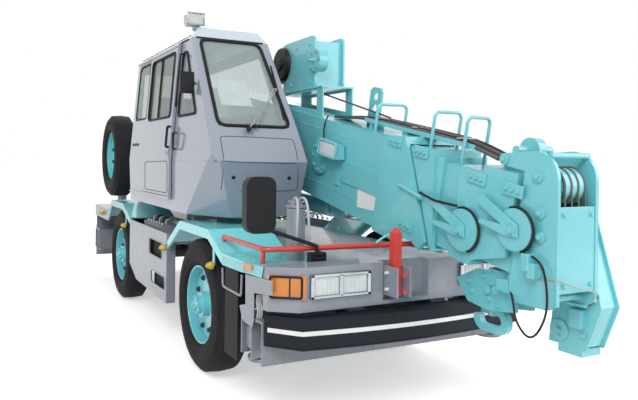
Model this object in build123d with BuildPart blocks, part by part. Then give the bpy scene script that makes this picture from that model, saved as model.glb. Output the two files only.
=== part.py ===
"""Small two-axle rough terrain crane, built piece by piece as separate named solids.

Millimetres. The front faces -Y, the vehicle's left is +X and +Z is up; the tyres stand on Z = 0
and the origin is under the middle of the whole machine, boom stowed over the front.
"""

import os
from math import cos, radians, sin, tan

from build123d import *

os.makedirs("parts", exist_ok=True)

# Overall layout
WHEELBASE = 2750.0
MID_Y = 370.0
FRONT_AXLE_Y = MID_Y - WHEELBASE / 2
REAR_AXLE_Y = MID_Y + WHEELBASE / 2
HALF_WIDTH = 990.0
SEAT = 0.3
MOVE_GAP = 6.0

# Wheels, knuckles and axles
TRACK = 1690.0
TYRE_OD = 1012.0
TYRE_WIDTH = 276.0
RIM_OD = 610.0
RIM_INNER = 560.0
DISC_THICKNESS = 14.0
DISC_OFFSET = 30.0
AXLE_Z = TYRE_OD / 2
KINGPIN_X = 655.0
KINGPIN_OD = 118.0
FORK_GAP = 226.0
FORK_PLATE = 30.0
AXLE_TUBE_OD = 150.0
DIFF_OD = 340.0
SPINDLE_OD = 76.0
HUB_OD = 190.0

# Carrier frame
RAIL_X = 330.0
RAIL_WIDTH = 120.0
RAIL_BOTTOM = 660.0
RAIL_TOP = 900.0
DECK_TOP = 970.0
DECK_SHEET = 10.0
DECK_HALF = 500.0
REAR_DECK_Y = REAR_AXLE_Y + TYRE_OD / 2 + 149.0
REAR_DECK_HALF = HALF_WIDTH - 10.0
DECK_SKIRT = 130.0
CARRIER_FRONT = FRONT_AXLE_Y - 1225.0
CARRIER_REAR = REAR_AXLE_Y + 1605.0

# Outriggers: two crossed swing arms in each sleeve
SLEEVE_LENGTH = 320.0
SLEEVE_BOTTOM = 400.0
SLEEVE_TOP = RAIL_BOTTOM - SEAT
SLEEVE_PLATE = 12.0
SLEEVE_HALF = HALF_WIDTH - 5.0
FRONT_SLEEVE_Y = CARRIER_FRONT + SLEEVE_LENGTH / 2
REAR_SLEEVE_Y = CARRIER_REAR - 100.0 - SLEEVE_LENGTH / 2
ARM_DEPTH = 150.0
ARM_WIDTH = 130.0
ARM_WALL = 8.0
ARM_BAY = (SLEEVE_LENGTH - 3 * SLEEVE_PLATE) / 2
ARM_OFFSET = (ARM_BAY + SLEEVE_PLATE) / 2
ARM_Z = 510.0
ARM_PIVOT_X = 700.0
ARM_OUT_X = 800.0
BEAM_OUT_X = 960.0
BEAM_IN_X = 560.0
FLOAT_OD = 190.0
FLOAT_THICKNESS = 22.0
FLOAT_X = 870.0
FLOAT_TOP = 388.0
JACK_X = 645.0
JACK_OD = 120.0
JACK_BORE = 84.0
FRONT_JACK_TOP = 1310.0
REAR_JACK_TOP = 1115.0
JACK_CAP = 40.0
ROD_OD = 70.0
ROD_LENGTH = 420.0

# Fenders, side panels and front end
FENDER_TOP = TYRE_OD + 98.0
FENDER_SHEET = 12.0
FENDER_LIP = 70.0
LIP_SHEET = 22.0
APRON_TOP = 978.0
SIDE_TOP = 960.0
SIDE_BOTTOM = 350.0
PANEL_SHEET = 10.0
FRONT_PANEL_Y = CARRIER_FRONT - 175.0
FRONT_PANEL_BOTTOM = 740.0
FRONT_PANEL_TOP = 1000.0
BUMPER_FRONT = CARRIER_FRONT - 278.0
BUMPER_BOTTOM = 530.0
BUMPER_TOP = 715.0

# Superstructure
SLEW_Y = MID_Y + 450.0
SLEW_RING_OD = 860.0
SLEW_RING_WALL = 90.0
PEDESTAL_OD = SLEW_RING_OD + 40.0
SLEW_SEAT_Z = 1020.0
TABLE_BOTTOM = 1120.0
TABLE_TOP = 1150.0
TABLE_REAR = MID_Y + 1900.0

# Boom, measured along its own axis from the foot pin
BOOM_X = 250.0
BOOM_PIVOT_Y = MID_Y + 1450.0
BOOM_PIVOT_Z = 2200.0
BOOM_SLOPE = 11.0
CHEEK_THICKNESS = 28.0
CHEEK_GAP = 8.0
PAD_LENGTH = 90.0
LUFF_FOOT_Y = MID_Y + 700.0
LUFF_FOOT_Z = 1310.0
LUFF_EYE_Y = MID_Y - 1560.0
LUFF_EYE_Z = 1200.0

# Spare wheel
SPARE_X = -848.0
SPARE_Y = MID_Y + 2060.0
SPARE_Z = 1640.0
SPARE_BRACKET_X = -640.0
SPARE_BRACKET = 24.0

# Head sheaves and hook block
HEAD_FRONT_Y = MID_Y - 3755.0
HEAD_PLATE_X = 130.0
HEAD_PLATE = 22.0
HEAD_SHEAVE_Y = HEAD_FRONT_Y + 118.0
HEAD_SHEAVE_Z = 1050.0
HEAD_SHEAVE_OD = 220.0
JIB_FRONT_Y = MID_Y - 3770.0
JIB_WIDTH = 150.0
BLOCK_Y = MID_Y - 3225.0
BLOCK_Z = 885.0

# Cab
CAB_RIGHT = -945.0
CAB_LEFT = -150.0
CAB_WALL = 32.0
CAB_BOTTOM = 1165.0
CREASE_Z = 1600.0
GUTTER_Z = 2655.0
CAB_TOP = 2760.0
CAB_TUMBLE = 85.0
GLASS_INSET = 5.0
GLASS_THICKNESS = 6.0


def polygon(points):
    """A closed face in the current sketch through the points given."""
    with BuildLine() as outline:
        Polyline(*points, close=True)
    make_face(outline.edges())


def finish(part, name):
    """Label a finished piece and write it to its file."""
    part.label = name
    export_step(part, f"parts/{name}.step")


# Chassis frame: two rails, the cross bearers on them and the slew pedestal
with BuildPart() as chassis_frame:
    with BuildSketch(Plane.XZ.offset(-CARRIER_FRONT)):
        with Locations((-RAIL_X, (RAIL_BOTTOM + RAIL_TOP) / 2), (RAIL_X, (RAIL_BOTTOM + RAIL_TOP) / 2)):
            Rectangle(RAIL_WIDTH, RAIL_TOP - RAIL_BOTTOM)
    extrude(amount=-(CARRIER_REAR - CARRIER_FRONT))
    for bearer_y in (FRONT_SLEEVE_Y, FRONT_AXLE_Y, SLEW_Y - 700, SLEW_Y + 700, REAR_SLEEVE_Y):
        with Locations((0, bearer_y, RAIL_TOP + SEAT)):
            Box(2 * DECK_HALF - 80, 90, DECK_TOP - DECK_SHEET - RAIL_TOP - 2 * SEAT,
                align=(Align.CENTER, Align.CENTER, Align.MIN))
    with BuildSketch(Plane.XY.offset(RAIL_TOP + SEAT)):
        with Locations((0, SLEW_Y)):
            Circle(PEDESTAL_OD / 2)
            Circle(SLEW_RING_OD / 2 - SLEW_RING_WALL, mode=Mode.SUBTRACT)
    extrude(amount=SLEW_SEAT_Z - RAIL_TOP - SEAT)
finish(chassis_frame.part, "chassis_frame")

# Outrigger sleeves: a top plate over three uprights makes two open bays in each
with BuildPart() as outrigger_sleeves:
    for sleeve_y in (FRONT_SLEEVE_Y, REAR_SLEEVE_Y):
        with BuildSketch(Plane.XY.offset(SLEEVE_TOP - SLEEVE_PLATE)):
            with Locations((0, sleeve_y)):
                Rectangle(2 * SLEEVE_HALF, SLEEVE_LENGTH)
            for side in (-1, 1):
                with Locations((side * JACK_X, sleeve_y - side * ARM_OFFSET)):
                    Circle(JACK_BORE / 2, mode=Mode.SUBTRACT)
        extrude(amount=SLEEVE_PLATE)
        for plate_y in (-1, 0, 1):
            with Locations((0, sleeve_y + plate_y * (SLEEVE_LENGTH - SLEEVE_PLATE) / 2, SLEEVE_BOTTOM)):
                Box(2 * SLEEVE_HALF, SLEEVE_PLATE, SLEEVE_TOP - SLEEVE_PLATE - SEAT - SLEEVE_BOTTOM,
                    align=(Align.CENTER, Align.CENTER, Align.MIN))
finish(outrigger_sleeves.part, "outrigger_sleeves")

# Deck plates: the narrow deck in two halves round the pedestal, and the wide rear deck with its skirts
with BuildPart() as deck_plates:
    for start_y, end_y in ((CARRIER_FRONT, SLEW_Y - SEAT / 2), (SLEW_Y + SEAT / 2, REAR_DECK_Y - SEAT)):
        with BuildSketch(Plane.XY.offset(DECK_TOP - DECK_SHEET)):
            with Locations((0, (start_y + end_y) / 2)):
                Rectangle(2 * DECK_HALF, end_y - start_y)
            with Locations((0, SLEW_Y)):
                Circle(PEDESTAL_OD / 2 + SEAT, mode=Mode.SUBTRACT)
        extrude(amount=DECK_SHEET)
    with BuildSketch(Plane.XY.offset(DECK_TOP - DECK_SHEET)):
        polygon([
            (-REAR_DECK_HALF, REAR_DECK_Y), (REAR_DECK_HALF, REAR_DECK_Y),
            (REAR_DECK_HALF, CARRIER_REAR - 60), (REAR_DECK_HALF - 60, CARRIER_REAR),
            (-REAR_DECK_HALF + 60, CARRIER_REAR), (-REAR_DECK_HALF, CARRIER_REAR - 60),
        ])
        for side in (-1, 1):
            with Locations((side * JACK_X, REAR_SLEEVE_Y - side * ARM_OFFSET)):
                Circle(JACK_OD / 2 + SEAT, mode=Mode.SUBTRACT)
    extrude(amount=DECK_SHEET)
    for side in (-1, 1):
        with Locations((side * (REAR_DECK_HALF - DECK_SHEET / 2), (REAR_DECK_Y + CARRIER_REAR - 60) / 2,
                        DECK_TOP - DECK_SHEET - SEAT)):
            Box(DECK_SHEET, CARRIER_REAR - 60 - REAR_DECK_Y, DECK_SKIRT,
                align=(Align.CENTER, Align.CENTER, Align.MAX))
finish(deck_plates.part, "deck_plates")


def fender(name, top_line, apron, cone):
    """A pair of fenders from the (y, z) points of the top line, with an optional folded apron."""
    with BuildPart() as piece:
        for side in (-1, 1):
            outer = side * HALF_WIDTH
            sheet = top_line + [(y, z - FENDER_SHEET) for y, z in reversed(top_line)]
            with BuildSketch(Plane.YZ.offset(side * (DECK_HALF + SEAT))):
                polygon(sheet)
            extrude(amount=side * (HALF_WIDTH - DECK_HALF - SEAT))
            lip = top_line + [(y, z - FENDER_LIP) for y, z in reversed(top_line)]
            with BuildSketch(Plane.YZ.offset(outer)):
                polygon(lip)
            extrude(amount=-side * LIP_SHEET)
            with Locations((outer - side * (LIP_SHEET / 2 + 2), cone[0], cone[1])):
                Box(8, CONE_BRACKET, CONE_HANGER, align=(Align.CENTER, Align.CENTER, Align.MIN))
            if apron:
                with BuildSketch(Plane.XY.offset(APRON_TOP - FENDER_LIP)):
                    polygon([(side * x, y) for x, y in apron])
                extrude(amount=FENDER_LIP)
                with BuildSketch(Plane.XY.offset(APRON_TOP - FENDER_LIP - 1)):
                    polygon([(side * x, y) for x, y in apron])
                    offset(amount=-FENDER_SHEET, kind=Kind.INTERSECTION, mode=Mode.REPLACE)
                extrude(amount=FENDER_LIP - FENDER_SHEET + 1, mode=Mode.SUBTRACT)
                with BuildSketch(Plane.XY.offset(APRON_TOP - FENDER_LIP - 1)):
                    with Locations((side * JACK_X, FRONT_SLEEVE_Y - side * ARM_OFFSET)):
                        Circle(JACK_OD / 2 + SEAT)
                extrude(amount=FENDER_LIP + 2, mode=Mode.SUBTRACT)
    finish(piece.part, name)


# Where each tyre's tread lies furthest forward and back
FRONT_TYRE_FORE = FRONT_AXLE_Y - TYRE_OD / 2
FRONT_TYRE_AFT = FRONT_AXLE_Y + TYRE_OD / 2
REAR_TYRE_FORE = REAR_AXLE_Y - TYRE_OD / 2
REAR_TYRE_AFT = REAR_AXLE_Y + TYRE_OD / 2
CONE_BRACKET = 30.0
CONE_HANGER = 145.0
FRONT_CONE = (FRONT_TYRE_FORE + 131, 865)
REAR_CONE = (REAR_TYRE_FORE + 171, 870)

# Front fenders run on into a flat apron with a cut corner; each jack barrel passes through it
front_line = [
    (FRONT_TYRE_AFT + 249, 900), (FRONT_TYRE_AFT - 101, FENDER_TOP), (FRONT_TYRE_FORE + 231, FENDER_TOP),
    (FRONT_TYRE_FORE - 49, APRON_TOP), (FRONT_TYRE_FORE - 119, APRON_TOP),
]
front_apron = [
    (DECK_HALF + SEAT, FRONT_TYRE_FORE - 109), (HALF_WIDTH, FRONT_TYRE_FORE - 109),
    (HALF_WIDTH, CARRIER_FRONT + 280), (HALF_WIDTH - 60, CARRIER_FRONT + 10),
    (DECK_HALF + SEAT, CARRIER_FRONT + 10),
]
fender("front_fenders", front_line, front_apron, FRONT_CONE)
rear_line = [
    (REAR_TYRE_FORE - 59, 977), (REAR_TYRE_FORE + 316, FENDER_TOP - 5),
    (REAR_TYRE_AFT - 101, FENDER_TOP - 5), (REAR_TYRE_AFT + 139, 900),
]
fender("rear_fenders", rear_line, None, REAR_CONE)

# Side panels between the wheels: skin with two windows, front return wall, top flange, valve box
PANEL_FRONT = FRONT_TYRE_AFT + 269.0
PANEL_REAR = REAR_TYRE_FORE - 69.0
PANEL_RETURN = 82.0
VALVE_BOX = (150.0, 620.0, 120.0)
with BuildPart() as side_panels:
    for side in (-1, 1):
        with BuildSketch(Plane.YZ.offset(side * HALF_WIDTH)):
            polygon([
                (PANEL_FRONT, SIDE_BOTTOM), (PANEL_REAR - 300, SIDE_BOTTOM + 20), (PANEL_REAR, 500),
                (PANEL_REAR, SIDE_TOP), (PANEL_FRONT, SIDE_TOP),
            ])
            with Locations((PANEL_FRONT + 365, 787)):
                RectangleRounded(440, 152, 40, mode=Mode.SUBTRACT)
            with Locations((PANEL_FRONT + 275, 512)):
                RectangleRounded(460, 116, 40, mode=Mode.SUBTRACT)
        extrude(amount=-side * PANEL_SHEET)
        with Locations((side * (HALF_WIDTH - PANEL_RETURN / 2), PANEL_FRONT + PANEL_SHEET / 2,
                        (SIDE_BOTTOM + SIDE_TOP) / 2)):
            Box(PANEL_RETURN, PANEL_SHEET, SIDE_TOP - SIDE_BOTTOM)
        flange_length = PANEL_REAR - PANEL_FRONT - 300
        flange_y = (PANEL_REAR + PANEL_FRONT) / 2 - 100
        with Locations((side * (HALF_WIDTH + DECK_HALF - 25) / 2, flange_y, SIDE_TOP - 100)):
            Box(HALF_WIDTH - DECK_HALF + 25, flange_length, PANEL_SHEET)
        with Locations((side * (DECK_HALF - 20), flange_y, SIDE_TOP - 105)):
            Box(PANEL_SHEET, flange_length, DECK_TOP - DECK_SHEET - SEAT - SIDE_TOP + 105,
                align=(Align.CENTER, Align.CENTER, Align.MIN))
    # Ribbed valve box on the right flange
    with Locations((-(HALF_WIDTH - 130), (PANEL_FRONT + PANEL_REAR) / 2, SIDE_TOP - 95)):
        Box(*VALVE_BOX, align=(Align.CENTER, Align.CENTER, Align.MIN))
        with GridLocations(1, 80, 1, 7):
            Box(VALVE_BOX[0] + 16, 14, VALVE_BOX[2] + 8, align=(Align.CENTER, Align.CENTER, Align.MIN))
finish(side_panels.part, "side_panels")

# Front panel: a folded shell with openings for the lamp units and a recess behind the hook post
LAMP_UNIT = (415.0, 142.0, 72.0)
LAMP_X = 560.0
LAMP_Z = 886.0
FRONT_SHEET = 12.0
POST_X = -190.0
RECESS_RIGHT = -250.0
RECESS_LEFT = 100.0
RECESS_BOTTOM = 765.0
RECESS_DEPTH = 70.0
CORNER_X = HALF_WIDTH - 160.0
PANEL_HALF = HALF_WIDTH - 5.0
POST_CLEVIS = 42.0
PIN_HEIGHTS = (840.0, 940.0)
PIN_OD = 20.0


def front_outline(rear_y):
    """The front panel's plan outline back to a chosen rear edge."""
    return [
        (-PANEL_HALF, rear_y), (-PANEL_HALF, CARRIER_FRONT - 60), (-CORNER_X, FRONT_PANEL_Y),
        (CORNER_X, FRONT_PANEL_Y), (PANEL_HALF, CARRIER_FRONT - 60), (PANEL_HALF, rear_y),
    ]


with BuildPart() as front_panel:
    with BuildSketch(Plane.XY.offset(FRONT_PANEL_BOTTOM)):
        polygon(front_outline(CARRIER_FRONT - SEAT))
    extrude(amount=FRONT_PANEL_TOP - FRONT_PANEL_BOTTOM)
    with BuildSketch(Plane.XY.offset(FRONT_PANEL_BOTTOM - 1)):
        polygon(front_outline(CARRIER_FRONT + 40))
        offset(amount=-FRONT_SHEET, kind=Kind.INTERSECTION, mode=Mode.REPLACE)
    extrude(amount=FRONT_PANEL_TOP - FRONT_PANEL_BOTTOM - FRONT_SHEET + 1, mode=Mode.SUBTRACT)
    recess_x = (RECESS_RIGHT + RECESS_LEFT) / 2
    with Locations((recess_x, FRONT_PANEL_Y, FRONT_PANEL_TOP)):
        Box(RECESS_LEFT - RECESS_RIGHT + 2 * FRONT_SHEET, RECESS_DEPTH + FRONT_SHEET,
            FRONT_PANEL_TOP - RECESS_BOTTOM + FRONT_SHEET, align=(Align.CENTER, Align.MIN, Align.MAX))
    with Locations((recess_x, FRONT_PANEL_Y - 1, FRONT_PANEL_TOP + 1)):
        Box(RECESS_LEFT - RECESS_RIGHT, RECESS_DEPTH + 1, FRONT_PANEL_TOP - RECESS_BOTTOM + 1,
            align=(Align.CENTER, Align.MIN, Align.MAX), mode=Mode.SUBTRACT)
    for side in (-1, 1):
        with Locations((side * LAMP_X, FRONT_PANEL_Y, LAMP_Z)):
            Box(LAMP_UNIT[0] + 2 * SEAT, 60, LAMP_UNIT[1] + 2 * SEAT, mode=Mode.SUBTRACT)
        # One of the two plates that hold the hook post by its pins
        with Locations((POST_X + side * (POST_CLEVIS + FRONT_SHEET / 2), FRONT_PANEL_Y + RECESS_DEPTH + 2, 890)):
            Box(FRONT_SHEET, RECESS_DEPTH + 132, 180, align=(Align.CENTER, Align.MAX, Align.CENTER))
    for pin_z in PIN_HEIGHTS:
        with Locations(Location((POST_X, FRONT_PANEL_Y - 40, pin_z), (0, 90, 0))):
            Cylinder(PIN_OD / 2 + SEAT, 4 * POST_CLEVIS, mode=Mode.SUBTRACT)
finish(front_panel.part, "front_panel")

# Twin headlamps: each unit is a bezel with two round-cornered lenses set into it
LENS = (164.0, 106.0, 12.0)
with BuildPart() as headlamps:
    for side in (-1, 1):
        with Locations((side * LAMP_X, FRONT_PANEL_Y - 12, LAMP_Z)):
            Box(LAMP_UNIT[0], LAMP_UNIT[2], LAMP_UNIT[1], align=(Align.CENTER, Align.MIN, Align.CENTER))
        for lens in (-1, 1):
            for grow, depth, mode in ((SEAT, LENS[2] + 6, Mode.SUBTRACT), (0, -LENS[2], Mode.ADD)):
                start = FRONT_PANEL_Y - 12 + (LENS[2] + 6 - SEAT if mode == Mode.ADD else 0)
                with BuildSketch(Plane.XZ.offset(-start)):
                    with Locations((side * LAMP_X + lens * 98, LAMP_Z)):
                        RectangleRounded(LENS[0] + 2 * grow, LENS[1] + 2 * grow, 30 + grow)
                extrude(amount=-depth, mode=mode)
finish(headlamps.part, "headlamps")

# Bumper: a bowed channel between the corners on two brackets
BUMPER_CORNER_Y = CARRIER_FRONT - 210.0
BUMPER_REAR_Y = CARRIER_FRONT - 160.0
BUMPER_WALL = 14.0
BRACKET_X = 450.0
with BuildPart() as front_bumper:
    with BuildSketch(Plane.XY.offset(BUMPER_BOTTOM)):
        with BuildLine():
            ThreePointArc((-CORNER_X, BUMPER_CORNER_Y), (0, BUMPER_FRONT), (CORNER_X, BUMPER_CORNER_Y))
            Polyline((CORNER_X, BUMPER_CORNER_Y), (PANEL_HALF, CARRIER_FRONT - 25),
                     (PANEL_HALF - 55, CARRIER_FRONT - 25), (CORNER_X - 30, BUMPER_REAR_Y),
                     (-CORNER_X + 30, BUMPER_REAR_Y), (-PANEL_HALF + 55, CARRIER_FRONT - 25),
                     (-PANEL_HALF, CARRIER_FRONT - 25), (-CORNER_X, BUMPER_CORNER_Y))
        make_face()
    extrude(amount=BUMPER_TOP - BUMPER_BOTTOM)
    with BuildSketch(Plane.XY.offset(BUMPER_BOTTOM + BUMPER_WALL)):
        with BuildLine():
            ThreePointArc((-CORNER_X + 50, BUMPER_CORNER_Y + 20), (0, BUMPER_FRONT + BUMPER_WALL),
                          (CORNER_X - 50, BUMPER_CORNER_Y + 20))
            Polyline((CORNER_X - 50, BUMPER_CORNER_Y + 20), (CORNER_X - 50, BUMPER_REAR_Y + 1),
                     (-CORNER_X + 50, BUMPER_REAR_Y + 1), (-CORNER_X + 50, BUMPER_CORNER_Y + 20))
        make_face()
    extrude(amount=BUMPER_TOP - BUMPER_BOTTOM - 2 * BUMPER_WALL, mode=Mode.SUBTRACT)
    for side in (-1, 1):
        with Locations((side * BRACKET_X, CARRIER_FRONT - SEAT, (BUMPER_BOTTOM + BUMPER_TOP) / 2)):
            Box(60, CARRIER_FRONT - SEAT - BUMPER_FRONT - BUMPER_WALL - 20, 120,
                align=(Align.CENTER, Align.MAX, Align.CENTER))
finish(front_bumper.part, "front_bumper")

# Lamps and reflectors: corner indicators, fender markers, side cones and tail lamps
with BuildPart() as marker_lamps:
    for side in (-1, 1):
        with BuildSketch(Plane.XY.offset(820)):
            polygon([
                (side * (CORNER_X - 30), FRONT_PANEL_Y - 20), (side * (CORNER_X - 10), FRONT_PANEL_Y - 20),
                (side * PANEL_HALF, CARRIER_FRONT - 80), (side * PANEL_HALF, CARRIER_FRONT - 60.4),
                (side * CORNER_X, FRONT_PANEL_Y - 0.4), (side * (CORNER_X - 30), FRONT_PANEL_Y - 0.4),
            ])
        extrude(amount=135)
        cones = (
            # distance out of its seat, y, z
            (HALF_WIDTH - LIP_SHEET / 2 + 2, *REAR_CONE), (HALF_WIDTH, PANEL_FRONT + 40, 834),
            (HALF_WIDTH - LIP_SHEET / 2 + 2, *FRONT_CONE), (REAR_DECK_HALF, CARRIER_REAR - 640, 900),
        )
        for cone_x, cone_y, cone_z in cones:
            with Locations(Location((side * (cone_x + SEAT), cone_y, cone_z), (0, side * 90, 0))):
                Cone(24, 8, 25, align=(Align.CENTER, Align.CENTER, Align.MIN))
        with Locations((side * (HALF_WIDTH - 210), CARRIER_REAR + 30 + SEAT, 760)):
            Box(260, 30, 100)
finish(marker_lamps.part, "marker_lamps")

# Red guard rail over the front corner, and the red post that the hook is tied to
RAIL_PIPE = 34.0
RAIL_PIPE_Z = 1070.0
RAIL_OUT = HALF_WIDTH - 70.0
POST_TOP = 1215.0
with BuildPart() as front_rail:
    with BuildLine() as rail_line:
        FilletPolyline(
            (-RAIL_OUT, FRONT_TYRE_FORE + 91, RAIL_PIPE_Z), (-RAIL_OUT, CARRIER_FRONT + 118, RAIL_PIPE_Z),
            (-750, CARRIER_FRONT + 100, RAIL_PIPE_Z), (560, CARRIER_FRONT - 20, RAIL_PIPE_Z), radius=60)
    with BuildSketch(Plane(origin=rail_line.line @ 0, z_dir=rail_line.line % 0)):
        Circle(RAIL_PIPE / 2)
    sweep()
    for foot_x, foot_y, foot_base in (
        (-RAIL_OUT, FRONT_TYRE_FORE + 76, 1044), (-RAIL_OUT + 8, CARRIER_FRONT + 160, APRON_TOP),
        (-560, CARRIER_FRONT + 82.6, APRON_TOP), (0, CARRIER_FRONT + 31.3, DECK_TOP),
        (540, CARRIER_FRONT - 18.2, FRONT_PANEL_TOP),
    ):
        with Locations((foot_x, foot_y, foot_base + SEAT)):
            Cylinder(14, RAIL_PIPE_Z - foot_base - SEAT, align=(Align.CENTER, Align.CENTER, Align.MIN))
    # The hook rest post, its pointed top and the two pins through its bracket
    with BuildSketch(Plane.XY.offset(800)):
        with Locations((POST_X, FRONT_PANEL_Y - 40)):
            Rectangle(54, 54)
    extrude(amount=POST_TOP - 830)
    with BuildSketch(Plane.XY.offset(POST_TOP - 30)):
        with Locations((POST_X, FRONT_PANEL_Y - 40)):
            Rectangle(54, 54)
    extrude(amount=30, taper=38)
    for pin_z in PIN_HEIGHTS:
        with Locations(Location((POST_X, FRONT_PANEL_Y - 40, pin_z), (0, 90, 0))):
            Cylinder(PIN_OD / 2, 2 * POST_CLEVIS + 2 * FRONT_SHEET + 40)
finish(front_rail.part, "front_rail")

# Front corner mirror on two bent tubes
MIRROR_X = HALF_WIDTH - 60.0
with BuildPart() as front_mirror:
    for drop in (0, 90):
        with BuildLine() as mirror_line:
            FilletPolyline(
                (-600, CARRIER_FRONT + 40, APRON_TOP + 60), (-600, CARRIER_FRONT + 40, APRON_TOP + 110 - drop / 4),
                (-MIRROR_X + 70, CARRIER_FRONT + 160, 1180 - drop / 2),
                (-MIRROR_X - 5, CARRIER_FRONT + 190, 1300 - drop), radius=10)
        with BuildSketch(Plane(origin=mirror_line.line @ 0, z_dir=mirror_line.line % 0)):
            Circle(12)
        sweep()
    with Locations((-600, CARRIER_FRONT + 40, APRON_TOP + 35 + SEAT)):
        Box(110, 50, 70)
    with BuildSketch(Plane.XZ.offset(-(CARRIER_FRONT + 220))):
        with Locations((-MIRROR_X, 1340)):
            RectangleRounded(200, 350, 60)
    extrude(amount=70)
finish(front_mirror.part, "front_mirror")

# Mud flaps hang behind and before the wheels from the fenders
with BuildPart() as mud_flaps:
    for side in (-1, 1):
        with Locations((side * (HALF_WIDTH - FENDER_SHEET / 2), FRONT_TYRE_FORE - 236, APRON_TOP - FENDER_LIP - SEAT)):
            Box(10, 225, APRON_TOP - FENDER_LIP - SEAT - 325, align=(Align.CENTER, Align.CENTER, Align.MAX))
finish(mud_flaps.part, "mud_flaps")

# Rear panel below the tail
with BuildPart() as rear_panel:
    with Locations((0, CARRIER_REAR + 25, 480)):
        Box(2 * (HALF_WIDTH - 40), 50, 420)
    for side in (-1, 1):
        with Locations((side * BRACKET_X, CARRIER_REAR - 50 + SEAT / 2, 560)):
            Box(80, 100 - SEAT, 160)
    with Locations((0, CARRIER_REAR + 7.5, 800)):
        Box(2 * (HALF_WIDTH - 40), 15, 320)
finish(rear_panel.part, "rear_panel")

# Axles: tube, differential and the fork ends that hold the king pins
with BuildPart() as axles:
    for axle_y in (FRONT_AXLE_Y, REAR_AXLE_Y):
        tube_half = KINGPIN_X - KINGPIN_OD / 2 - 25
        with BuildSketch(Plane(origin=(0, axle_y, AXLE_Z), x_dir=(1, 0, 0), z_dir=(0, -1, 0))):
            with BuildLine():
                Line((-tube_half, 0), (-tube_half, AXLE_TUBE_OD / 2))
                Line((-tube_half, AXLE_TUBE_OD / 2), (-DIFF_OD / 2, AXLE_TUBE_OD / 2))
                Line((-DIFF_OD / 2, AXLE_TUBE_OD / 2), (-DIFF_OD / 4, DIFF_OD / 2 - 20))
                ThreePointArc((-DIFF_OD / 4, DIFF_OD / 2 - 20), (0, DIFF_OD / 2), (DIFF_OD / 4, DIFF_OD / 2 - 20))
                Line((DIFF_OD / 4, DIFF_OD / 2 - 20), (DIFF_OD / 2, AXLE_TUBE_OD / 2))
                Line((DIFF_OD / 2, AXLE_TUBE_OD / 2), (tube_half, AXLE_TUBE_OD / 2))
                Line((tube_half, AXLE_TUBE_OD / 2), (tube_half, 0))
                Line((tube_half, 0), (-tube_half, 0))
            make_face()
        revolve(axis=Axis((0, axle_y, AXLE_Z), (1, 0, 0)))
        for side in (-1, 1):
            fork_x = side * (KINGPIN_X - 20)
            with Locations((side * (KINGPIN_X - KINGPIN_OD / 2 - 35), axle_y, AXLE_Z)):
                Box(40, 120, FORK_GAP + 2 * FORK_PLATE)
            for end in (-1, 1):
                with Locations((fork_x, axle_y, AXLE_Z + end * (FORK_GAP + FORK_PLATE) / 2)):
                    Box(170, 110, FORK_PLATE)
            with Locations((side * KINGPIN_X, axle_y, AXLE_Z)):
                Cylinder(26, FORK_GAP + 4 * FORK_PLATE, mode=Mode.SUBTRACT)
            with Locations((side * RAIL_X, axle_y, (AXLE_Z + RAIL_BOTTOM - SEAT) / 2)):
                Box(RAIL_WIDTH, 110, RAIL_BOTTOM - SEAT - AXLE_Z)
finish(axles.part, "axles")

# The engine, one plain block between the rails ahead of the rear sleeve
with BuildPart() as engine_block:
    with Locations((0, REAR_AXLE_Y + 705, 700)):
        Box(2 * RAIL_X - RAIL_WIDTH - 2 * SEAT, 560, 460)
finish(engine_block.part, "engine_block")

CORNERS = (
    # name, side, axle y, sleeve y, top of the jack barrel
    ("front_left", 1, FRONT_AXLE_Y, FRONT_SLEEVE_Y, FRONT_JACK_TOP),
    ("front_right", -1, FRONT_AXLE_Y, FRONT_SLEEVE_Y, FRONT_JACK_TOP),
    ("rear_left", 1, REAR_AXLE_Y, REAR_SLEEVE_Y, REAR_JACK_TOP),
    ("rear_right", -1, REAR_AXLE_Y, REAR_SLEEVE_Y, REAR_JACK_TOP),
)

# Outrigger jack barrels stand on the sleeves and pass up through the deck
with BuildPart() as jack_barrels:
    for _, side, _, sleeve_y, jack_top in CORNERS:
        with Locations((side * JACK_X, sleeve_y - side * ARM_OFFSET, SLEEVE_TOP + SEAT)):
            Cylinder(JACK_OD / 2, jack_top - SLEEVE_TOP - SEAT, align=(Align.CENTER, Align.CENTER, Align.MIN))
            Cylinder(JACK_BORE / 2, jack_top - SLEEVE_TOP - SEAT - JACK_CAP,
                     align=(Align.CENTER, Align.CENTER, Align.MIN), mode=Mode.SUBTRACT)
        with Locations((side * JACK_X, sleeve_y - side * ARM_OFFSET, jack_top - 1)):
            Box(60, 60, JACK_CAP + 1, align=(Align.CENTER, Align.CENTER, Align.MIN))
finish(jack_barrels.part, "jack_barrels")

BEAD_INSET = 45.0
SIDEWALL = (TYRE_OD - RIM_OD) / 2 + 8


def rounded_tyre():
    """Section of the tyre through its axle, outline points set out from bead to tread."""
    half = TYRE_WIDTH / 2
    bead = RIM_OD / 2 - 8
    right_half = [
        (half - BEAD_INSET, bead), (half - 12, bead + 0.14 * SIDEWALL), (half, bead + 0.43 * SIDEWALL),
        (half - 8, bead + 0.71 * SIDEWALL), (half - BEAD_INSET, TYRE_OD / 2 - 8),
    ]
    left_half = [(-x, z) for x, z in reversed(right_half)]
    polygon(right_half + [(0, TYRE_OD / 2)] + left_half)


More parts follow.
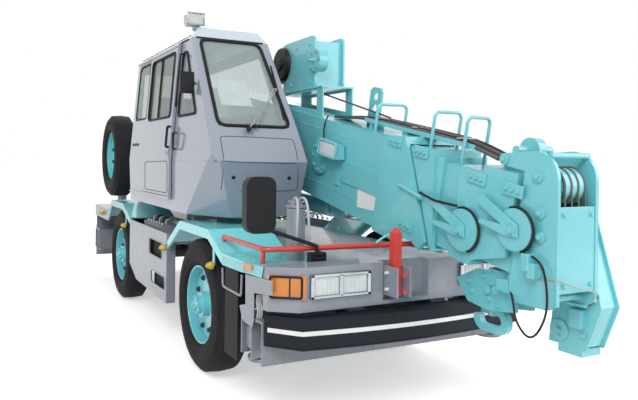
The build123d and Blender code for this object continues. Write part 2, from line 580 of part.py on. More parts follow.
for corner, side, axle_y, sleeve_y, jack_top in CORNERS:
    wheel_x = side * TRACK / 2
    wheel_plane = Plane(origin=(wheel_x, axle_y, AXLE_Z), x_dir=(1, 0, 0), z_dir=(0, -1, 0))
    wheel_axis = Axis((wheel_x, axle_y, AXLE_Z), (1, 0, 0))

    with BuildPart() as tyre:
        with BuildSketch(wheel_plane):
            rounded_tyre()
        revolve(axis=wheel_axis)
    finish(tyre.part, f"tyre_{corner}")

    # The rim: a band with a dished disc welded in and a stepped hub in its middle
    band_half = TYRE_WIDTH / 2 - BEAD_INSET + 11
    disc_in = DISC_OFFSET
    disc_out = DISC_OFFSET + DISC_THICKNESS
    with BuildPart() as rim:
        with BuildSketch(wheel_plane):
            polygon([(-band_half, RIM_INNER / 2), (band_half, RIM_INNER / 2), (band_half, RIM_OD / 2 - 8 - SEAT),
                     (-band_half, RIM_OD / 2 - 8 - SEAT)])
            polygon([(side * a, r) for a, r in (
                # distance out from the middle plane, radius
                (disc_in - 16, RIM_INNER / 2 + 1), (disc_out - 16, RIM_INNER / 2 + 1),
                (disc_out, RIM_INNER / 2 - 30), (disc_out, HUB_OD / 2), (disc_out + 56, HUB_OD / 2 - 4),
                (disc_out + 56, HUB_OD / 2 - 25), (disc_out + 86, HUB_OD / 2 - 30), (disc_out + 86, 0),
                (disc_in, 0), (disc_in, RIM_INNER / 2 - 30))])
        revolve(axis=wheel_axis)
    finish(rim.part, f"rim_{corner}")

    with BuildPart() as knuckle:
        with Locations((side * KINGPIN_X, axle_y, AXLE_Z)):
            Cylinder(KINGPIN_OD / 2, FORK_GAP - 2)
            Cylinder(26 - SEAT, FORK_GAP + 2 * FORK_PLATE)
        with Locations(Location((side * KINGPIN_X, axle_y, AXLE_Z), (0, side * 90, 0))):
            Cylinder(SPINDLE_OD / 2, TRACK / 2 + DISC_OFFSET - KINGPIN_X - SEAT,
                     align=(Align.CENTER, Align.CENTER, Align.MIN))
    finish(knuckle.part, f"knuckle_{corner}")

    arm_y = sleeve_y - side * ARM_OFFSET
    arm_length = ARM_OUT_X + ARM_PIVOT_X + 60
    arm_mid = side * (ARM_OUT_X - ARM_PIVOT_X - 60) / 2
    with BuildPart() as arm:
        with Locations((arm_mid, arm_y, ARM_Z)):
            Box(arm_length, ARM_WIDTH, ARM_DEPTH)
            Box(arm_length + 2, ARM_WIDTH - 2 * ARM_WALL, ARM_DEPTH - 2 * ARM_WALL, mode=Mode.SUBTRACT)
        with Locations((-side * (ARM_PIVOT_X + 50), arm_y, ARM_Z)):
            Box(20, ARM_WIDTH, ARM_DEPTH)
        with Locations(Location((-side * ARM_PIVOT_X, arm_y, ARM_Z), (90, 0, 0))):
            Cylinder(25, ARM_BAY - 2 * SEAT)
    finish(arm.part, f"outrigger_arm_{corner}")

    # The beam's tube, its foot column and its float are seated on each other
    beam_length = BEAM_OUT_X + BEAM_IN_X
    beam_mid = side * (BEAM_OUT_X - BEAM_IN_X) / 2
    beam_width = ARM_WIDTH - 2 * ARM_WALL - 2 * SEAT
    beam_depth = ARM_DEPTH - 2 * ARM_WALL - 2 * SEAT
    with BuildPart() as beam:
        with Locations((beam_mid, arm_y, ARM_Z)):
            Box(beam_length, beam_width, beam_depth)
            Box(beam_length - 40, beam_width - 20, beam_depth - 20, mode=Mode.SUBTRACT)
        with Locations((side * FLOAT_X, arm_y, FLOAT_TOP + SEAT)):
            Cylinder(32, ARM_Z - beam_depth / 2 - FLOAT_TOP - 2 * SEAT,
                     align=(Align.CENTER, Align.CENTER, Align.MIN))
        with Locations((side * FLOAT_X, arm_y, FLOAT_TOP - FLOAT_THICKNESS / 2)):
            Cylinder(FLOAT_OD / 2, FLOAT_THICKNESS)
    finish(beam.part, f"outrigger_beam_{corner}")

    rod_foot = ARM_Z + ARM_DEPTH / 2 + SEAT + ROD_OD / 2
    with BuildPart() as rod:
        with Locations((side * JACK_X, arm_y, rod_foot)):
            Sphere(ROD_OD / 2)
            Cylinder(ROD_OD / 2, ROD_LENGTH, align=(Align.CENTER, Align.CENTER, Align.MIN))
        with Locations((side * JACK_X, arm_y, rod_foot + ROD_LENGTH)):
            Cylinder(JACK_BORE / 2 - SEAT, 56, align=(Align.CENTER, Align.CENTER, Align.MAX))
    finish(rod.part, f"jack_rod_{corner}")

# Slewing frame: bearing ring, table and the two cheeks that carry the boom foot and the cylinder
boom_half = 200.0
cheek_in = boom_half + CHEEK_GAP
PIN_HEAD = 20.0
with BuildPart() as slew_frame:
    with BuildSketch(Plane.XY.offset(SLEW_SEAT_Z + SEAT)):
        with Locations((0, SLEW_Y)):
            Circle(SLEW_RING_OD / 2)
            Circle(SLEW_RING_OD / 2 - SLEW_RING_WALL, mode=Mode.SUBTRACT)
    extrude(amount=TABLE_BOTTOM - SLEW_SEAT_Z - 2 * SEAT)
    with BuildSketch(Plane.XY.offset(TABLE_BOTTOM)):
        polygon([
            (-100, MID_Y - 400), (560, MID_Y - 400), (700, MID_Y + 100), (700, TABLE_REAR),
            (-640, TABLE_REAR), (-640, MID_Y - 900), (-160, MID_Y - 900), (-160, MID_Y - 400),
        ])
    extrude(amount=TABLE_TOP - TABLE_BOTTOM)
    for side in (-1, 1):
        with BuildSketch(Plane.YZ.offset(BOOM_X + side * cheek_in)):
            polygon([
                (MID_Y - 380, TABLE_TOP + SEAT), (MID_Y - 380, 1240), (MID_Y + 300, 1500),
                (BOOM_PIVOT_Y - 200, BOOM_PIVOT_Z + 60), (BOOM_PIVOT_Y - 110, BOOM_PIVOT_Z + 150),
                (BOOM_PIVOT_Y + 110, BOOM_PIVOT_Z + 150), (BOOM_PIVOT_Y + 200, BOOM_PIVOT_Z + 60),
                (TABLE_REAR - 40, 1500), (TABLE_REAR - 40, TABLE_TOP + SEAT),
            ])
        extrude(amount=side * CHEEK_THICKNESS)
        with Locations(Location((BOOM_X + side * (cheek_in + CHEEK_THICKNESS), BOOM_PIVOT_Y, BOOM_PIVOT_Z),
                                (0, side * 90, 0))):
            Cylinder(80, PIN_HEAD, align=(Align.CENTER, Align.CENTER, Align.MIN))
    with Locations(Location((BOOM_X, BOOM_PIVOT_Y, BOOM_PIVOT_Z), (0, 90, 0))):
        Cylinder(40, 2 * cheek_in - 2 * SEAT)
    with Locations(Location((BOOM_X, LUFF_FOOT_Y, LUFF_FOOT_Z), (0, 90, 0))):
        Cylinder(30, 2 * cheek_in - 2 * SEAT)
    with Locations((BOOM_X, TABLE_REAR - 55, TABLE_TOP + SEAT)):
        Box(2 * cheek_in - 2 * SEAT, 30, 350, align=(Align.CENTER, Align.CENTER, Align.MIN))
    for mount_x in (-600, -220):
        for mount_y in (MID_Y - 820, MID_Y + 880):
            with Locations((mount_x, mount_y, TABLE_TOP + SEAT)):
                Box(70, 70, CAB_BOTTOM - TABLE_TOP - 2 * SEAT, align=(Align.CENTER, Align.CENTER, Align.MIN))
    with BuildSketch(Plane.YZ.offset(SPARE_BRACKET_X)):
        polygon([
            (MID_Y + 1400, TABLE_TOP + SEAT), (TABLE_REAR, TABLE_TOP + SEAT), (SPARE_Y + 110, SPARE_Z - 60),
            (SPARE_Y + 110, SPARE_Z + 80), (SPARE_Y - 80, SPARE_Z + 110), (MID_Y + 1400, 1330),
        ])
    extrude(amount=SPARE_BRACKET)
finish(slew_frame.part, "slew_frame")

# Counterweight and rear housing behind the cab
with BuildPart() as counterweight:
    with BuildSketch(Plane.XY.offset(TABLE_TOP + SEAT)):
        polygon([
            (SPARE_BRACKET_X + SPARE_BRACKET + SEAT, MID_Y + 1150), (BOOM_X - cheek_in - CHEEK_THICKNESS - SEAT, MID_Y + 1150),
            (BOOM_X - cheek_in - CHEEK_THICKNESS - SEAT, TABLE_REAR - 20), (-560, TABLE_REAR - 20),
            (SPARE_BRACKET_X + SPARE_BRACKET + SEAT, TABLE_REAR - 90),
        ])
    extrude(amount=700)
    with BuildSketch(Plane.XY.offset(TABLE_TOP + SEAT)):
        polygon([
            (BOOM_X + cheek_in + CHEEK_THICKNESS + SEAT, MID_Y + 150), (700, MID_Y + 250),
            (700, TABLE_REAR - 120), (640, TABLE_REAR - 20),
            (BOOM_X + cheek_in + CHEEK_THICKNESS + SEAT, TABLE_REAR - 20),
        ])
    extrude(amount=620)
finish(counterweight.part, "counterweight")

# Boom sections, each a box tube with a bearing ring at the back and a slanted collar at the front
BOOM_SIDE = Plane(
    origin=(BOOM_X, BOOM_PIVOT_Y, BOOM_PIVOT_Z),
    x_dir=(0, -cos(radians(BOOM_SLOPE)), -sin(radians(BOOM_SLOPE))),
    z_dir=(-1, 0, 0),
)
SECTIONS = (
    # name, start, end, outer width, outer depth, wall
    ("boom_base", -150.0, 3930.0, 400.0, 660.0, 12.0),
    ("boom_section_2", 330.0, 4420.0, 350.0, 590.0, 10.0),
    ("boom_section_3", 480.0, 4740.0, 304.0, 526.0, 10.0),
    ("boom_head", 640.0, 5080.0, 260.0, 462.0, 10.0),
)
COLLAR = 18.0


def tube(start, end, width, depth, mode=Mode.ADD):
    """A box along the boom axis between two distances from the foot pin."""
    with BuildSketch(BOOM_SIDE) as side_view:
        with Locations(((start + end) / 2, 0)):
            Rectangle(end - start, depth)
    extrude(side_view.sketch, amount=width / 2, both=True, mode=mode)


def boom_point(along, up, x):
    """The point at a distance along the boom, a height over its axis and a global X."""
    return BOOM_SIDE.from_local_coords(Vector(along, up, BOOM_X - x))


def boom_plate(x, thickness, outline, mode=Mode.ADD):
    """A plate beside the boom from (along, up) points, from one X in the -X direction."""
    with BuildSketch(BOOM_SIDE.offset(BOOM_X - x)) as flat:
        polygon(outline)
    extrude(flat.sketch, amount=thickness, mode=mode)


def boom_disc(along, up, x, radius, thickness):
    """A round disc beside the boom, from one X in the -X direction."""
    with BuildSketch(BOOM_SIDE.offset(BOOM_X - x)) as flat:
        with Locations((along, up)):
            Circle(radius)
    extrude(flat.sketch, amount=thickness)


def hose_portal(along, foot, top, half):
    """An upright loop of round bar over the boom that the hoses run through."""
    with BuildLine() as loop:
        FilletPolyline(boom_point(along, foot, BOOM_X - half), boom_point(along, top, BOOM_X - half),
                       boom_point(along, top, BOOM_X + half), boom_point(along, foot, BOOM_X + half), radius=40)
    with BuildSketch(Plane(origin=loop.line @ 0, z_dir=loop.line % 0)) as bar:
        Circle(11)
    sweep(bar.sketch, path=loop.line)


PORTALS = {
    # section: distance along, foot height, top height, half width
    "boom_base": (3590, 320, 528, 130),
    "boom_section_2": (4200, 300, 553, 110),
    "boom_section_3": (4480, 255, 557, 90),
}

for index, (name, start, end, width, depth, wall) in enumerate(SECTIONS):
    right = BOOM_X - width / 2
    with BuildPart() as section:
        tube(start, end, width, depth)
        if index > 0:
            _, _, _, outer_width, outer_depth, outer_wall = SECTIONS[index - 1]
            tube(start, start + PAD_LENGTH, outer_width - 2 * outer_wall - 2 * SEAT,
                 outer_depth - 2 * outer_wall - 2 * SEAT)
        if name == "boom_base":
            top, low = depth / 2, -depth / 2
            boom_plate(BOOM_X + width / 2 + COLLAR, width + 2 * COLLAR, [
                (end - 110, top + 18), (end + 132, top + 35), (end + 455, low + 75), (end + 411, low + 7),
                (end + 330, low + 40), (end + 190, low + 40), (end + 98, low - 18), (end - 110, low - 18)])
        if name == "boom_section_2":
            top, low = depth / 2, -depth / 2
            boom_plate(BOOM_X + width / 2 + COLLAR, width + 2 * COLLAR, [
                (end - 319, top + 18), (end - 84, top + 35), (end + 23, low - 5), (end + 2, low - 5)])
        if name == "boom_section_3":
            top, low = depth / 2, -depth / 2
            boom_plate(BOOM_X + width / 2 + COLLAR, width + 2 * COLLAR, [
                (end - 180, top + 18), (end + 20, top + 18), (end + 20, top + 55), (end + 260, top + 55),
                (end + 260, low + 116), (end + 20, low + 20), (end, low - 18), (end - 180, low - 18)])
        if index == 0:
            tube(start + 330, end + 600, width - 2 * wall, depth - 2 * wall, Mode.SUBTRACT)
            with Locations(Location((BOOM_X, BOOM_PIVOT_Y, BOOM_PIVOT_Z), (0, 90, 0))):
                Cylinder(40 + SEAT, width + 60, mode=Mode.SUBTRACT)
        else:
            tube(start - 1, end + 600, width - 2 * wall, depth - 2 * wall, Mode.SUBTRACT)
        if index < 3:
            inner_width, inner_depth = SECTIONS[index + 1][3], SECTIONS[index + 1][4]
            tube(end - 60, end, width - 4, depth - 4)
            tube(end - 61, end + 1, inner_width + 2 * SEAT, inner_depth + 2 * SEAT, Mode.SUBTRACT)
        if name in PORTALS:
            hose_portal(*PORTALS[name])
        if name == "boom_base":
            # Clevis for the rod eye under the base
            for side in (-1, 1):
                with BuildSketch(Plane.YZ.offset(BOOM_X + side * 60)):
                    polygon([
                        (LUFF_EYE_Y - 90, LUFF_EYE_Z + 68), (LUFF_EYE_Y - 60, LUFF_EYE_Z - 50),
                        (LUFF_EYE_Y + 60, LUFF_EYE_Z - 50), (LUFF_EYE_Y + 200, LUFF_EYE_Z + 123),
                    ])
                extrude(amount=side * 24)
            with Locations(Location((BOOM_X, LUFF_EYE_Y, LUFF_EYE_Z), (0, 90, 0))):
                Cylinder(28, 160)
            # Stiffener, round boss, work lamp, its bracket, the guide tube and the two-hole plate on top
            boom_plate(right + 1, 9, [(3305, -109), (4090, -109), (4060, 58), (3305, 58)])
            boom_disc(2988, 17, right + 1, 135, 26)
            boom_plate(right + 1, 14, [(3040, 60), (3250, 70), (3290, -150), (3240, -150), (3190, 20), (3040, 20)])
            boom_plate(right - 12, 80, [(3065, 188), (3330, 168), (3353, 65), (3090, 60)])
            with BuildSketch(BOOM_SIDE.offset(-60)) as upright:
                polygon([(3214, 325), (3371, 325), (3371, 600), (3340, 630), (3245, 630), (3214, 600)])
                with Locations((3292, 470), (3292, 560)):
                    Circle(30, mode=Mode.SUBTRACT)
            extrude(upright.sketch, amount=16)
            guide = Plane(origin=boom_point(4082, 43, right - COLLAR - 10),
                          z_dir=boom_point(4319, 15, right - COLLAR - 10) - boom_point(4082, 43, right - COLLAR - 10))
            with BuildSketch(guide) as guide_end:
                Circle(14)
            extrude(guide_end.sketch, amount=238)
        if name == "boom_section_3":
            # Round cover on its triangular arm
            boom_plate(right - COLLAR + 1, 12, [(4580, 130), (4760, -20), (4700, -200), (4600, -180)])
            boom_disc(4674, -87, right - COLLAR - 10, 125, 22)
        if name == "boom_head":
            for side in (-1, 1):
                with BuildSketch(Plane.YZ.offset(BOOM_X + side * HEAD_PLATE_X)):
                    with BuildLine() as head_line:
                        rear_low = (HEAD_FRONT_Y + 315, 930)
                        crown = (HEAD_FRONT_Y + 150, 1685)
                        Polyline(rear_low, (HEAD_FRONT_Y + 210, 1578), (HEAD_FRONT_Y + 375, 1612),
                                 (HEAD_FRONT_Y + 375, 1672), crown)
                        ThreePointArc(crown, (HEAD_FRONT_Y + 42, 1640), (HEAD_FRONT_Y, 1535))
                        Polyline((HEAD_FRONT_Y, 1535), (HEAD_FRONT_Y, 900), (HEAD_FRONT_Y + 60, 870),
                                 (HEAD_FRONT_Y + 290, 870), rear_low)
                    make_face()
                extrude(amount=side * HEAD_PLATE)
                for boss_y, boss_z in (
                    (HEAD_FRONT_Y + 118, 1550), (HEAD_FRONT_Y + 96, 1365), (HEAD_FRONT_Y + 96, 1242),
                    (HEAD_FRONT_Y + 118, HEAD_SHEAVE_Z), (HEAD_FRONT_Y + 345, 1642),
                ):
                    with Locations(Location((BOOM_X + side * (HEAD_PLATE_X + HEAD_PLATE), boss_y, boss_z),
                                            (0, side * 90, 0))):
                        Cylinder(30, 14, align=(Align.CENTER, Align.CENTER, Align.MIN))
            for sheave_y, sheave_z, sheave_radius, sheave_width in (
                (HEAD_SHEAVE_Y, 1500, 100, 150), (HEAD_SHEAVE_Y, HEAD_SHEAVE_Z, HEAD_SHEAVE_OD / 2, 180),
                (HEAD_FRONT_Y + 292, 1690, 70, 60),
            ):
                with Locations(Location((BOOM_X, sheave_y, sheave_z), (0, 90, 0))):
                    Cylinder(24, 2 * HEAD_PLATE_X + 4)
                    Cylinder(sheave_radius, sheave_width)
            boom_disc(5052, 29, BOOM_X - HEAD_PLATE_X - HEAD_PLATE + 1, 38, 28)
            boom_disc(5052, 29, BOOM_X - HEAD_PLATE_X - HEAD_PLATE - 26, 115, 20)
    finish(section.part, name)

# Hoist winch on top of the boom base: stand, shelf, housing, drum between its flanges
WINCH_STAND = 150.0
WINCH_SHELF_Z = 2240.0
DRUM_Y = MID_Y - 660.0
DRUM_Z = 2510.0
slope = tan(radians(BOOM_SLOPE))


def boom_top(y):
    """Height of the boom's top face, with its seating gap, at a place along Y."""
    return BOOM_PIVOT_Z - (BOOM_PIVOT_Y - y) * slope + (SECTIONS[0][4] / 2 + SEAT) / cos(radians(BOOM_SLOPE))


STAND_REAR = MID_Y - 480.0
STAND_FRONT = MID_Y - 1400.0
with BuildPart() as hoist_winch:
    for side in (-1, 1):
        with BuildSketch(Plane.YZ.offset(BOOM_X + side * (WINCH_STAND - 12))):
            polygon([(STAND_REAR, boom_top(STAND_REAR)), (STAND_REAR, WINCH_SHELF_Z), (STAND_FRONT, WINCH_SHELF_Z),
                     (STAND_FRONT, boom_top(STAND_FRONT))])
            polygon_hole = [(STAND_REAR - 200, boom_top(STAND_REAR - 200) + 30), (STAND_REAR - 200, WINCH_SHELF_Z - 25),
                            (STAND_FRONT + 100, WINCH_SHELF_Z - 25), (STAND_FRONT + 100, boom_top(STAND_FRONT) + 60)]
            with BuildLine() as hole_line:
                Polyline(*polygon_hole, close=True)
            make_face(hole_line.edges(), mode=Mode.SUBTRACT)
        extrude(amount=side * 12)
        # Upright cheeks of the winch, rounded over the drum
        with BuildSketch(Plane.YZ.offset(BOOM_X + side * (WINCH_STAND - 16))):
            with Locations((DRUM_Y - 300, (WINCH_SHELF_Z + 2690) / 2)):
                RectangleRounded(600, 2690 - WINCH_SHELF_Z + 10, 60)
            with Locations((DRUM_Y, DRUM_Z)):
                Circle(172)
        extrude(amount=side * 16)
    with Locations((BOOM_X, (STAND_REAR + STAND_FRONT) / 2, WINCH_SHELF_Z)):
        Box(2 * WINCH_STAND + 20, STAND_REAR - STAND_FRONT, 14)
    with Locations(Location((BOOM_X, DRUM_Y, DRUM_Z), (0, 90, 0))):
        Cylinder(115, 2 * WINCH_STAND - 24)
        for flange in (-1, 1):
            with Locations((0, 0, flange * (WINCH_STAND - 26))):
                Cylinder(185, 14)
    with Locations((BOOM_X, DRUM_Y - 400, (WINCH_SHELF_Z + 2650) / 2)):
        Box(2 * WINCH_STAND - 20, 330, 2650 - WINCH_SHELF_Z)
    with Locations(Location((BOOM_X - WINCH_STAND, DRUM_Y - 640, 2467), (0, -90, 0))):
        Cylinder(95, 60, align=(Align.CENTER, Align.CENTER, Align.MAX))
        Cylinder(95, 30, align=(Align.CENTER, Align.CENTER, Align.MIN))
        with Locations((0, 0, 30)):
            Cone(22, 4, 60, align=(Align.CENTER, Align.CENTER, Align.MIN))
finish(hoist_winch.part, "hoist_winch")

# Luffing cylinder, barrel at the slewing frame and rod at the boom base
LUFF_DY = LUFF_EYE_Y - LUFF_FOOT_Y
LUFF_DZ = LUFF_EYE_Z - LUFF_FOOT_Z
LUFF_LENGTH = (LUFF_DY ** 2 + LUFF_DZ ** 2) ** 0.5
LUFF_AXIS = (0, LUFF_DY / LUFF_LENGTH, LUFF_DZ / LUFF_LENGTH)
LUFF_BASE = Plane(origin=(BOOM_X, LUFF_FOOT_Y, LUFF_FOOT_Z), x_dir=(1, 0, 0), z_dir=LUFF_AXIS)
BARREL_OD = 150.0
BARREL_BORE = 116.0
LUFF_ROD_OD = 90.0
BARREL_END = LUFF_LENGTH - 230.0
with BuildPart() as luff_barrel:
    with BuildSketch(LUFF_BASE.offset(70)):
        Circle(BARREL_OD / 2)
    extrude(amount=BARREL_END - 70)
    with Locations(Location((BOOM_X, LUFF_FOOT_Y, LUFF_FOOT_Z), (0, 90, 0))):
        Cylinder(75, 120)
    with BuildSketch(LUFF_BASE.offset(110)):
        Circle(BARREL_BORE / 2)
    extrude(amount=BARREL_END, mode=Mode.SUBTRACT)
    with BuildSketch(LUFF_BASE.offset(BARREL_END - 60)):
        Circle(BARREL_OD / 2)
        Circle(LUFF_ROD_OD / 2 + SEAT, mode=Mode.SUBTRACT)
    extrude(amount=60)
    with Locations(Location((BOOM_X, LUFF_FOOT_Y, LUFF_FOOT_Z), (0, 90, 0))):
        Cylinder(30 + SEAT, 140, mode=Mode.SUBTRACT)
finish(luff_barrel.part, "luff_barrel")

with BuildPart() as luff_rod:
    with BuildSketch(LUFF_BASE.offset(200)):
        Circle(LUFF_ROD_OD / 2)
    extrude(amount=LUFF_LENGTH - 240)
    with BuildSketch(LUFF_BASE.offset(180)):
        Circle(BARREL_BORE / 2 - SEAT)
    extrude(amount=90)
    with Locations(Location((BOOM_X, LUFF_EYE_Y, LUFF_EYE_Z), (0, 90, 0))):
        Cylinder(52, 100)
        Cylinder(28 + SEAT, 120, mode=Mode.SUBTRACT)
finish(luff_rod.part, "luff_rod")

# Hook block below the boom head: bevelled side plates, sheave, big hook and its two falls of rope
HOOK_Z = 690.0
falls = Vector(0, BLOCK_Y - HEAD_SHEAVE_Y, BLOCK_Z - HEAD_SHEAVE_Z)
with BuildPart() as hook_block:
    for side in (-1, 1):
        with BuildSketch(Plane.YZ.offset(BOOM_X + side * 50)):
            polygon([
                (BLOCK_Y + 270, 908), (BLOCK_Y + 92, 992), (BLOCK_Y - 190, 999), (BLOCK_Y - 194, 789),
                (BLOCK_Y + 8, 761), (BLOCK_Y + 172, 785),
            ])
        extrude(amount=side * 30)
    with Locations(Location((BOOM_X, BLOCK_Y, BLOCK_Z), (0, 90, 0))):
        Cylinder(98, 100)
        Cylinder(26, 190)
    with Locations((BOOM_X, BLOCK_Y + 45, 790)):
        Box(102, 90, 60)
        Cylinder(26, 150)
    with BuildSketch(Plane.YZ.offset(BOOM_X - 20)):
        with Locations((BLOCK_Y + 45, HOOK_Z)):
            SlotOverall(270, 150)
            SlotOverall(170, 66, mode=Mode.SUBTRACT)
        with Locations((BLOCK_Y + 150, HOOK_Z + 40)):
            Rectangle(60, 50, mode=Mode.SUBTRACT)
    extrude(amount=40)
    for fall in (-30, 30):
        with BuildSketch(Plane(origin=(BOOM_X + fall, HEAD_SHEAVE_Y, HEAD_SHEAVE_Z), x_dir=(1, 0, 0),
                               z_dir=falls).offset(HEAD_SHEAVE_OD / 2 + SEAT)) as rope:
            Circle(8)
        extrude(rope.sketch, amount=falls.length - HEAD_SHEAVE_OD / 2 - SEAT - 92)
finish(hook_block.part, "hook_block")

# Jib stowed at the left of the boom head: two flanges on a narrower core, a sheave pack and a foot pulley
jib_x = BOOM_X + HEAD_PLATE_X + HEAD_PLATE + 14 + SEAT
jib_outline = [
    (JIB_FRONT_Y + 250, 1390), (JIB_FRONT_Y + 160, 1390), (JIB_FRONT_Y + 12, 900), (JIB_FRONT_Y, 860),
    (JIB_FRONT_Y + 90, 620), (JIB_FRONT_Y + 330, 620), (JIB_FRONT_Y + 300, 850),
]
with BuildPart() as jib:
    for flange_x in (jib_x, jib_x + JIB_WIDTH - 12):
        with BuildSketch(Plane.YZ.offset(flange_x)):
            polygon(jib_outline)
        extrude(amount=12)
    with BuildSketch(Plane.YZ.offset(jib_x)):
        polygon(jib_outline)
        offset(amount=-14, kind=Kind.INTERSECTION, mode=Mode.REPLACE)
    extrude(amount=JIB_WIDTH)
    for strip_x in (jib_x, jib_x + JIB_WIDTH - 10):
        with Locations((strip_x, JIB_FRONT_Y + 205, 1380)):
            Box(10, 50, 200, align=(Align.MIN, Align.CENTER, Align.MIN))
    with Locations(Location((jib_x + JIB_WIDTH / 2, JIB_FRONT_Y + 205, 1530), (0, 90, 0))):
        Cylinder(14, JIB_WIDTH)
        for place in (-45, -15, 15, 45):
            with Locations((0, 0, place)):
                Cylinder(80, 20)
    with Locations(Location((jib_x + JIB_WIDTH / 2, JIB_FRONT_Y + 255, 696), (0, 90, 0))):
        Cylinder(60, JIB_WIDTH + 24)
        Cylinder(18, JIB_WIDTH + 60)
    with Locations((jib_x + JIB_WIDTH / 2, JIB_FRONT_Y + 190, 600)):
        Box(JIB_WIDTH, 150, 44)
finish(jib.part, "jib")

# Cab outline: a cross-section run along Y met by a side profile run along X
CAB_SECTION = [
    (CAB_RIGHT, CAB_BOTTOM), (CAB_RIGHT, CREASE_Z), (CAB_RIGHT + CAB_TUMBLE, GUTTER_Z),
    (CAB_RIGHT + CAB_TUMBLE + 90, CAB_TOP), (CAB_LEFT - 60, CAB_TOP), (CAB_LEFT, GUTTER_Z),
    (CAB_LEFT, CAB_BOTTOM),
]
CAB_PROFILE = [
    (MID_Y + 980, CAB_BOTTOM), (MID_Y + 1060, CREASE_Z), (MID_Y + 1010, GUTTER_Z), (MID_Y + 900, CAB_TOP),
    (MID_Y - 740, CAB_TOP), (MID_Y - 830, GUTTER_Z), (MID_Y - 1440, 1850), (MID_Y - 1610, CREASE_Z),
    (MID_Y - 1430, CAB_BOTTOM),
]
CHAMFER_POINTS = ((CAB_RIGHT, MID_Y - 990, CAB_BOTTOM), (-720, MID_Y - 1430, CAB_BOTTOM),
                  (CAB_RIGHT, MID_Y - 1500, CREASE_Z))


CHAMFER_EDGES = [Vector(*point) - Vector(*CHAMFER_POINTS[0]) for point in CHAMFER_POINTS[1:]]
CHAMFER_NORMAL = CHAMFER_EDGES[0].cross(CHAMFER_EDGES[1])
# The normal is turned so that it points into the cab
CHAMFER_IN = CHAMFER_NORMAL if CHAMFER_NORMAL.X > 0 else -CHAMFER_NORMAL
CHAMFER_PLANE = Plane(origin=CHAMFER_POINTS[0], x_dir=CHAMFER_EDGES[0], z_dir=CHAMFER_IN)


def cab_body(inset):
    """The cab's closed outline, each face moved in by the inset (out where it is negative)."""
    with BuildPart() as body:
        with BuildSketch(Plane.XZ.offset(-(MID_Y - 2000))):
            polygon(CAB_SECTION)
            offset(amount=-inset, kind=Kind.INTERSECTION, mode=Mode.REPLACE)
        extrude(amount=-4000)
        with BuildSketch(Plane.YZ.offset(-1500)):
            polygon(CAB_PROFILE)
            offset(amount=-inset, kind=Kind.INTERSECTION, mode=Mode.REPLACE)
        extrude(amount=2000, mode=Mode.INTERSECT)
        split(bisect_by=CHAMFER_PLANE.offset(inset), keep=Keep.TOP)
    return body.part


WINDOWS = (
    # name, plane, far plane distance, outline in that plane
    ("windscreen", "front", [(-830, 1880), (-215, 1880), (-240, 2640), (-790, 2640)]),
    ("rear_right", "right", [(MID_Y + 920, 2030), (MID_Y + 900, 2560), (MID_Y + 860, 2590),
                             (MID_Y + 480, 2590), (MID_Y + 480, 2030)]),
    ("quarter_right", "right", [(MID_Y - 655, 1985), (MID_Y - 655, 2540), (MID_Y - 760, 2540),
                                (MID_Y - 1130, 1985)]),
    ("side_left", "left", [(MID_Y + 850, 2030), (MID_Y + 850, 2560), (MID_Y - 700, 2560),
                           (MID_Y - 1080, 2030)]),
    ("rear", "back", [(-830, 2030), (-235, 2030), (-235, 2560), (-800, 2560)]),
)
DOOR_BOTTOM = 1270.0
DOOR_TOP = 2625.0
DOOR_OUTLINE = [(MID_Y + 350, DOOR_BOTTOM), (MID_Y + 350, DOOR_TOP), (MID_Y - 580, DOOR_TOP),
                (MID_Y - 580, DOOR_BOTTOM)]
DOOR_WINDOW = [(MID_Y + 255, 1990), (MID_Y + 255, 2570), (MID_Y - 500, 2570), (MID_Y - 500, 1990)]
OPENING_EDGE = 30.0


def prism(where, outline, shrink=0.0):
    """A prism that runs out through one wall of the cab from a plane inside it."""
    planes = {
        "front": (Plane.XZ.offset(-(MID_Y - 600)), 1200.0),
        "back": (Plane.XZ.offset(-(MID_Y + 600)), -1200.0),
        "right": (Plane.YZ.offset(-600), -600.0),
        "left": (Plane.YZ.offset(-300), 500.0),
    }
    plane, reach = planes[where]
    with BuildPart() as block:
        with BuildSketch(plane):
            polygon(outline)
            if shrink:
                offset(amount=-shrink, kind=Kind.INTERSECTION, mode=Mode.REPLACE)
        extrude(amount=reach)
    return block.part


cab_outer = cab_body(0)
cab_inner = cab_body(CAB_WALL)
with BuildPart() as cab_shell:
    add(cab_outer)
    add(cab_inner, mode=Mode.SUBTRACT)
    for _, where, outline in WINDOWS:
        add(prism(where, outline), mode=Mode.SUBTRACT)
    add(prism("right", DOOR_OUTLINE, OPENING_EDGE), mode=Mode.SUBTRACT)

with BuildPart() as cab_tub:
    add(cab_shell.part)
    split(bisect_by=Plane.XY.offset(CREASE_Z - SEAT / 2), keep=Keep.BOTTOM)
    with Locations((CAB_RIGHT - 13, MID_Y + 175, DOOR_BOTTOM - SEAT - 7)):
        Box(30, 1510, 14)
finish(cab_tub.part, "cab_tub")

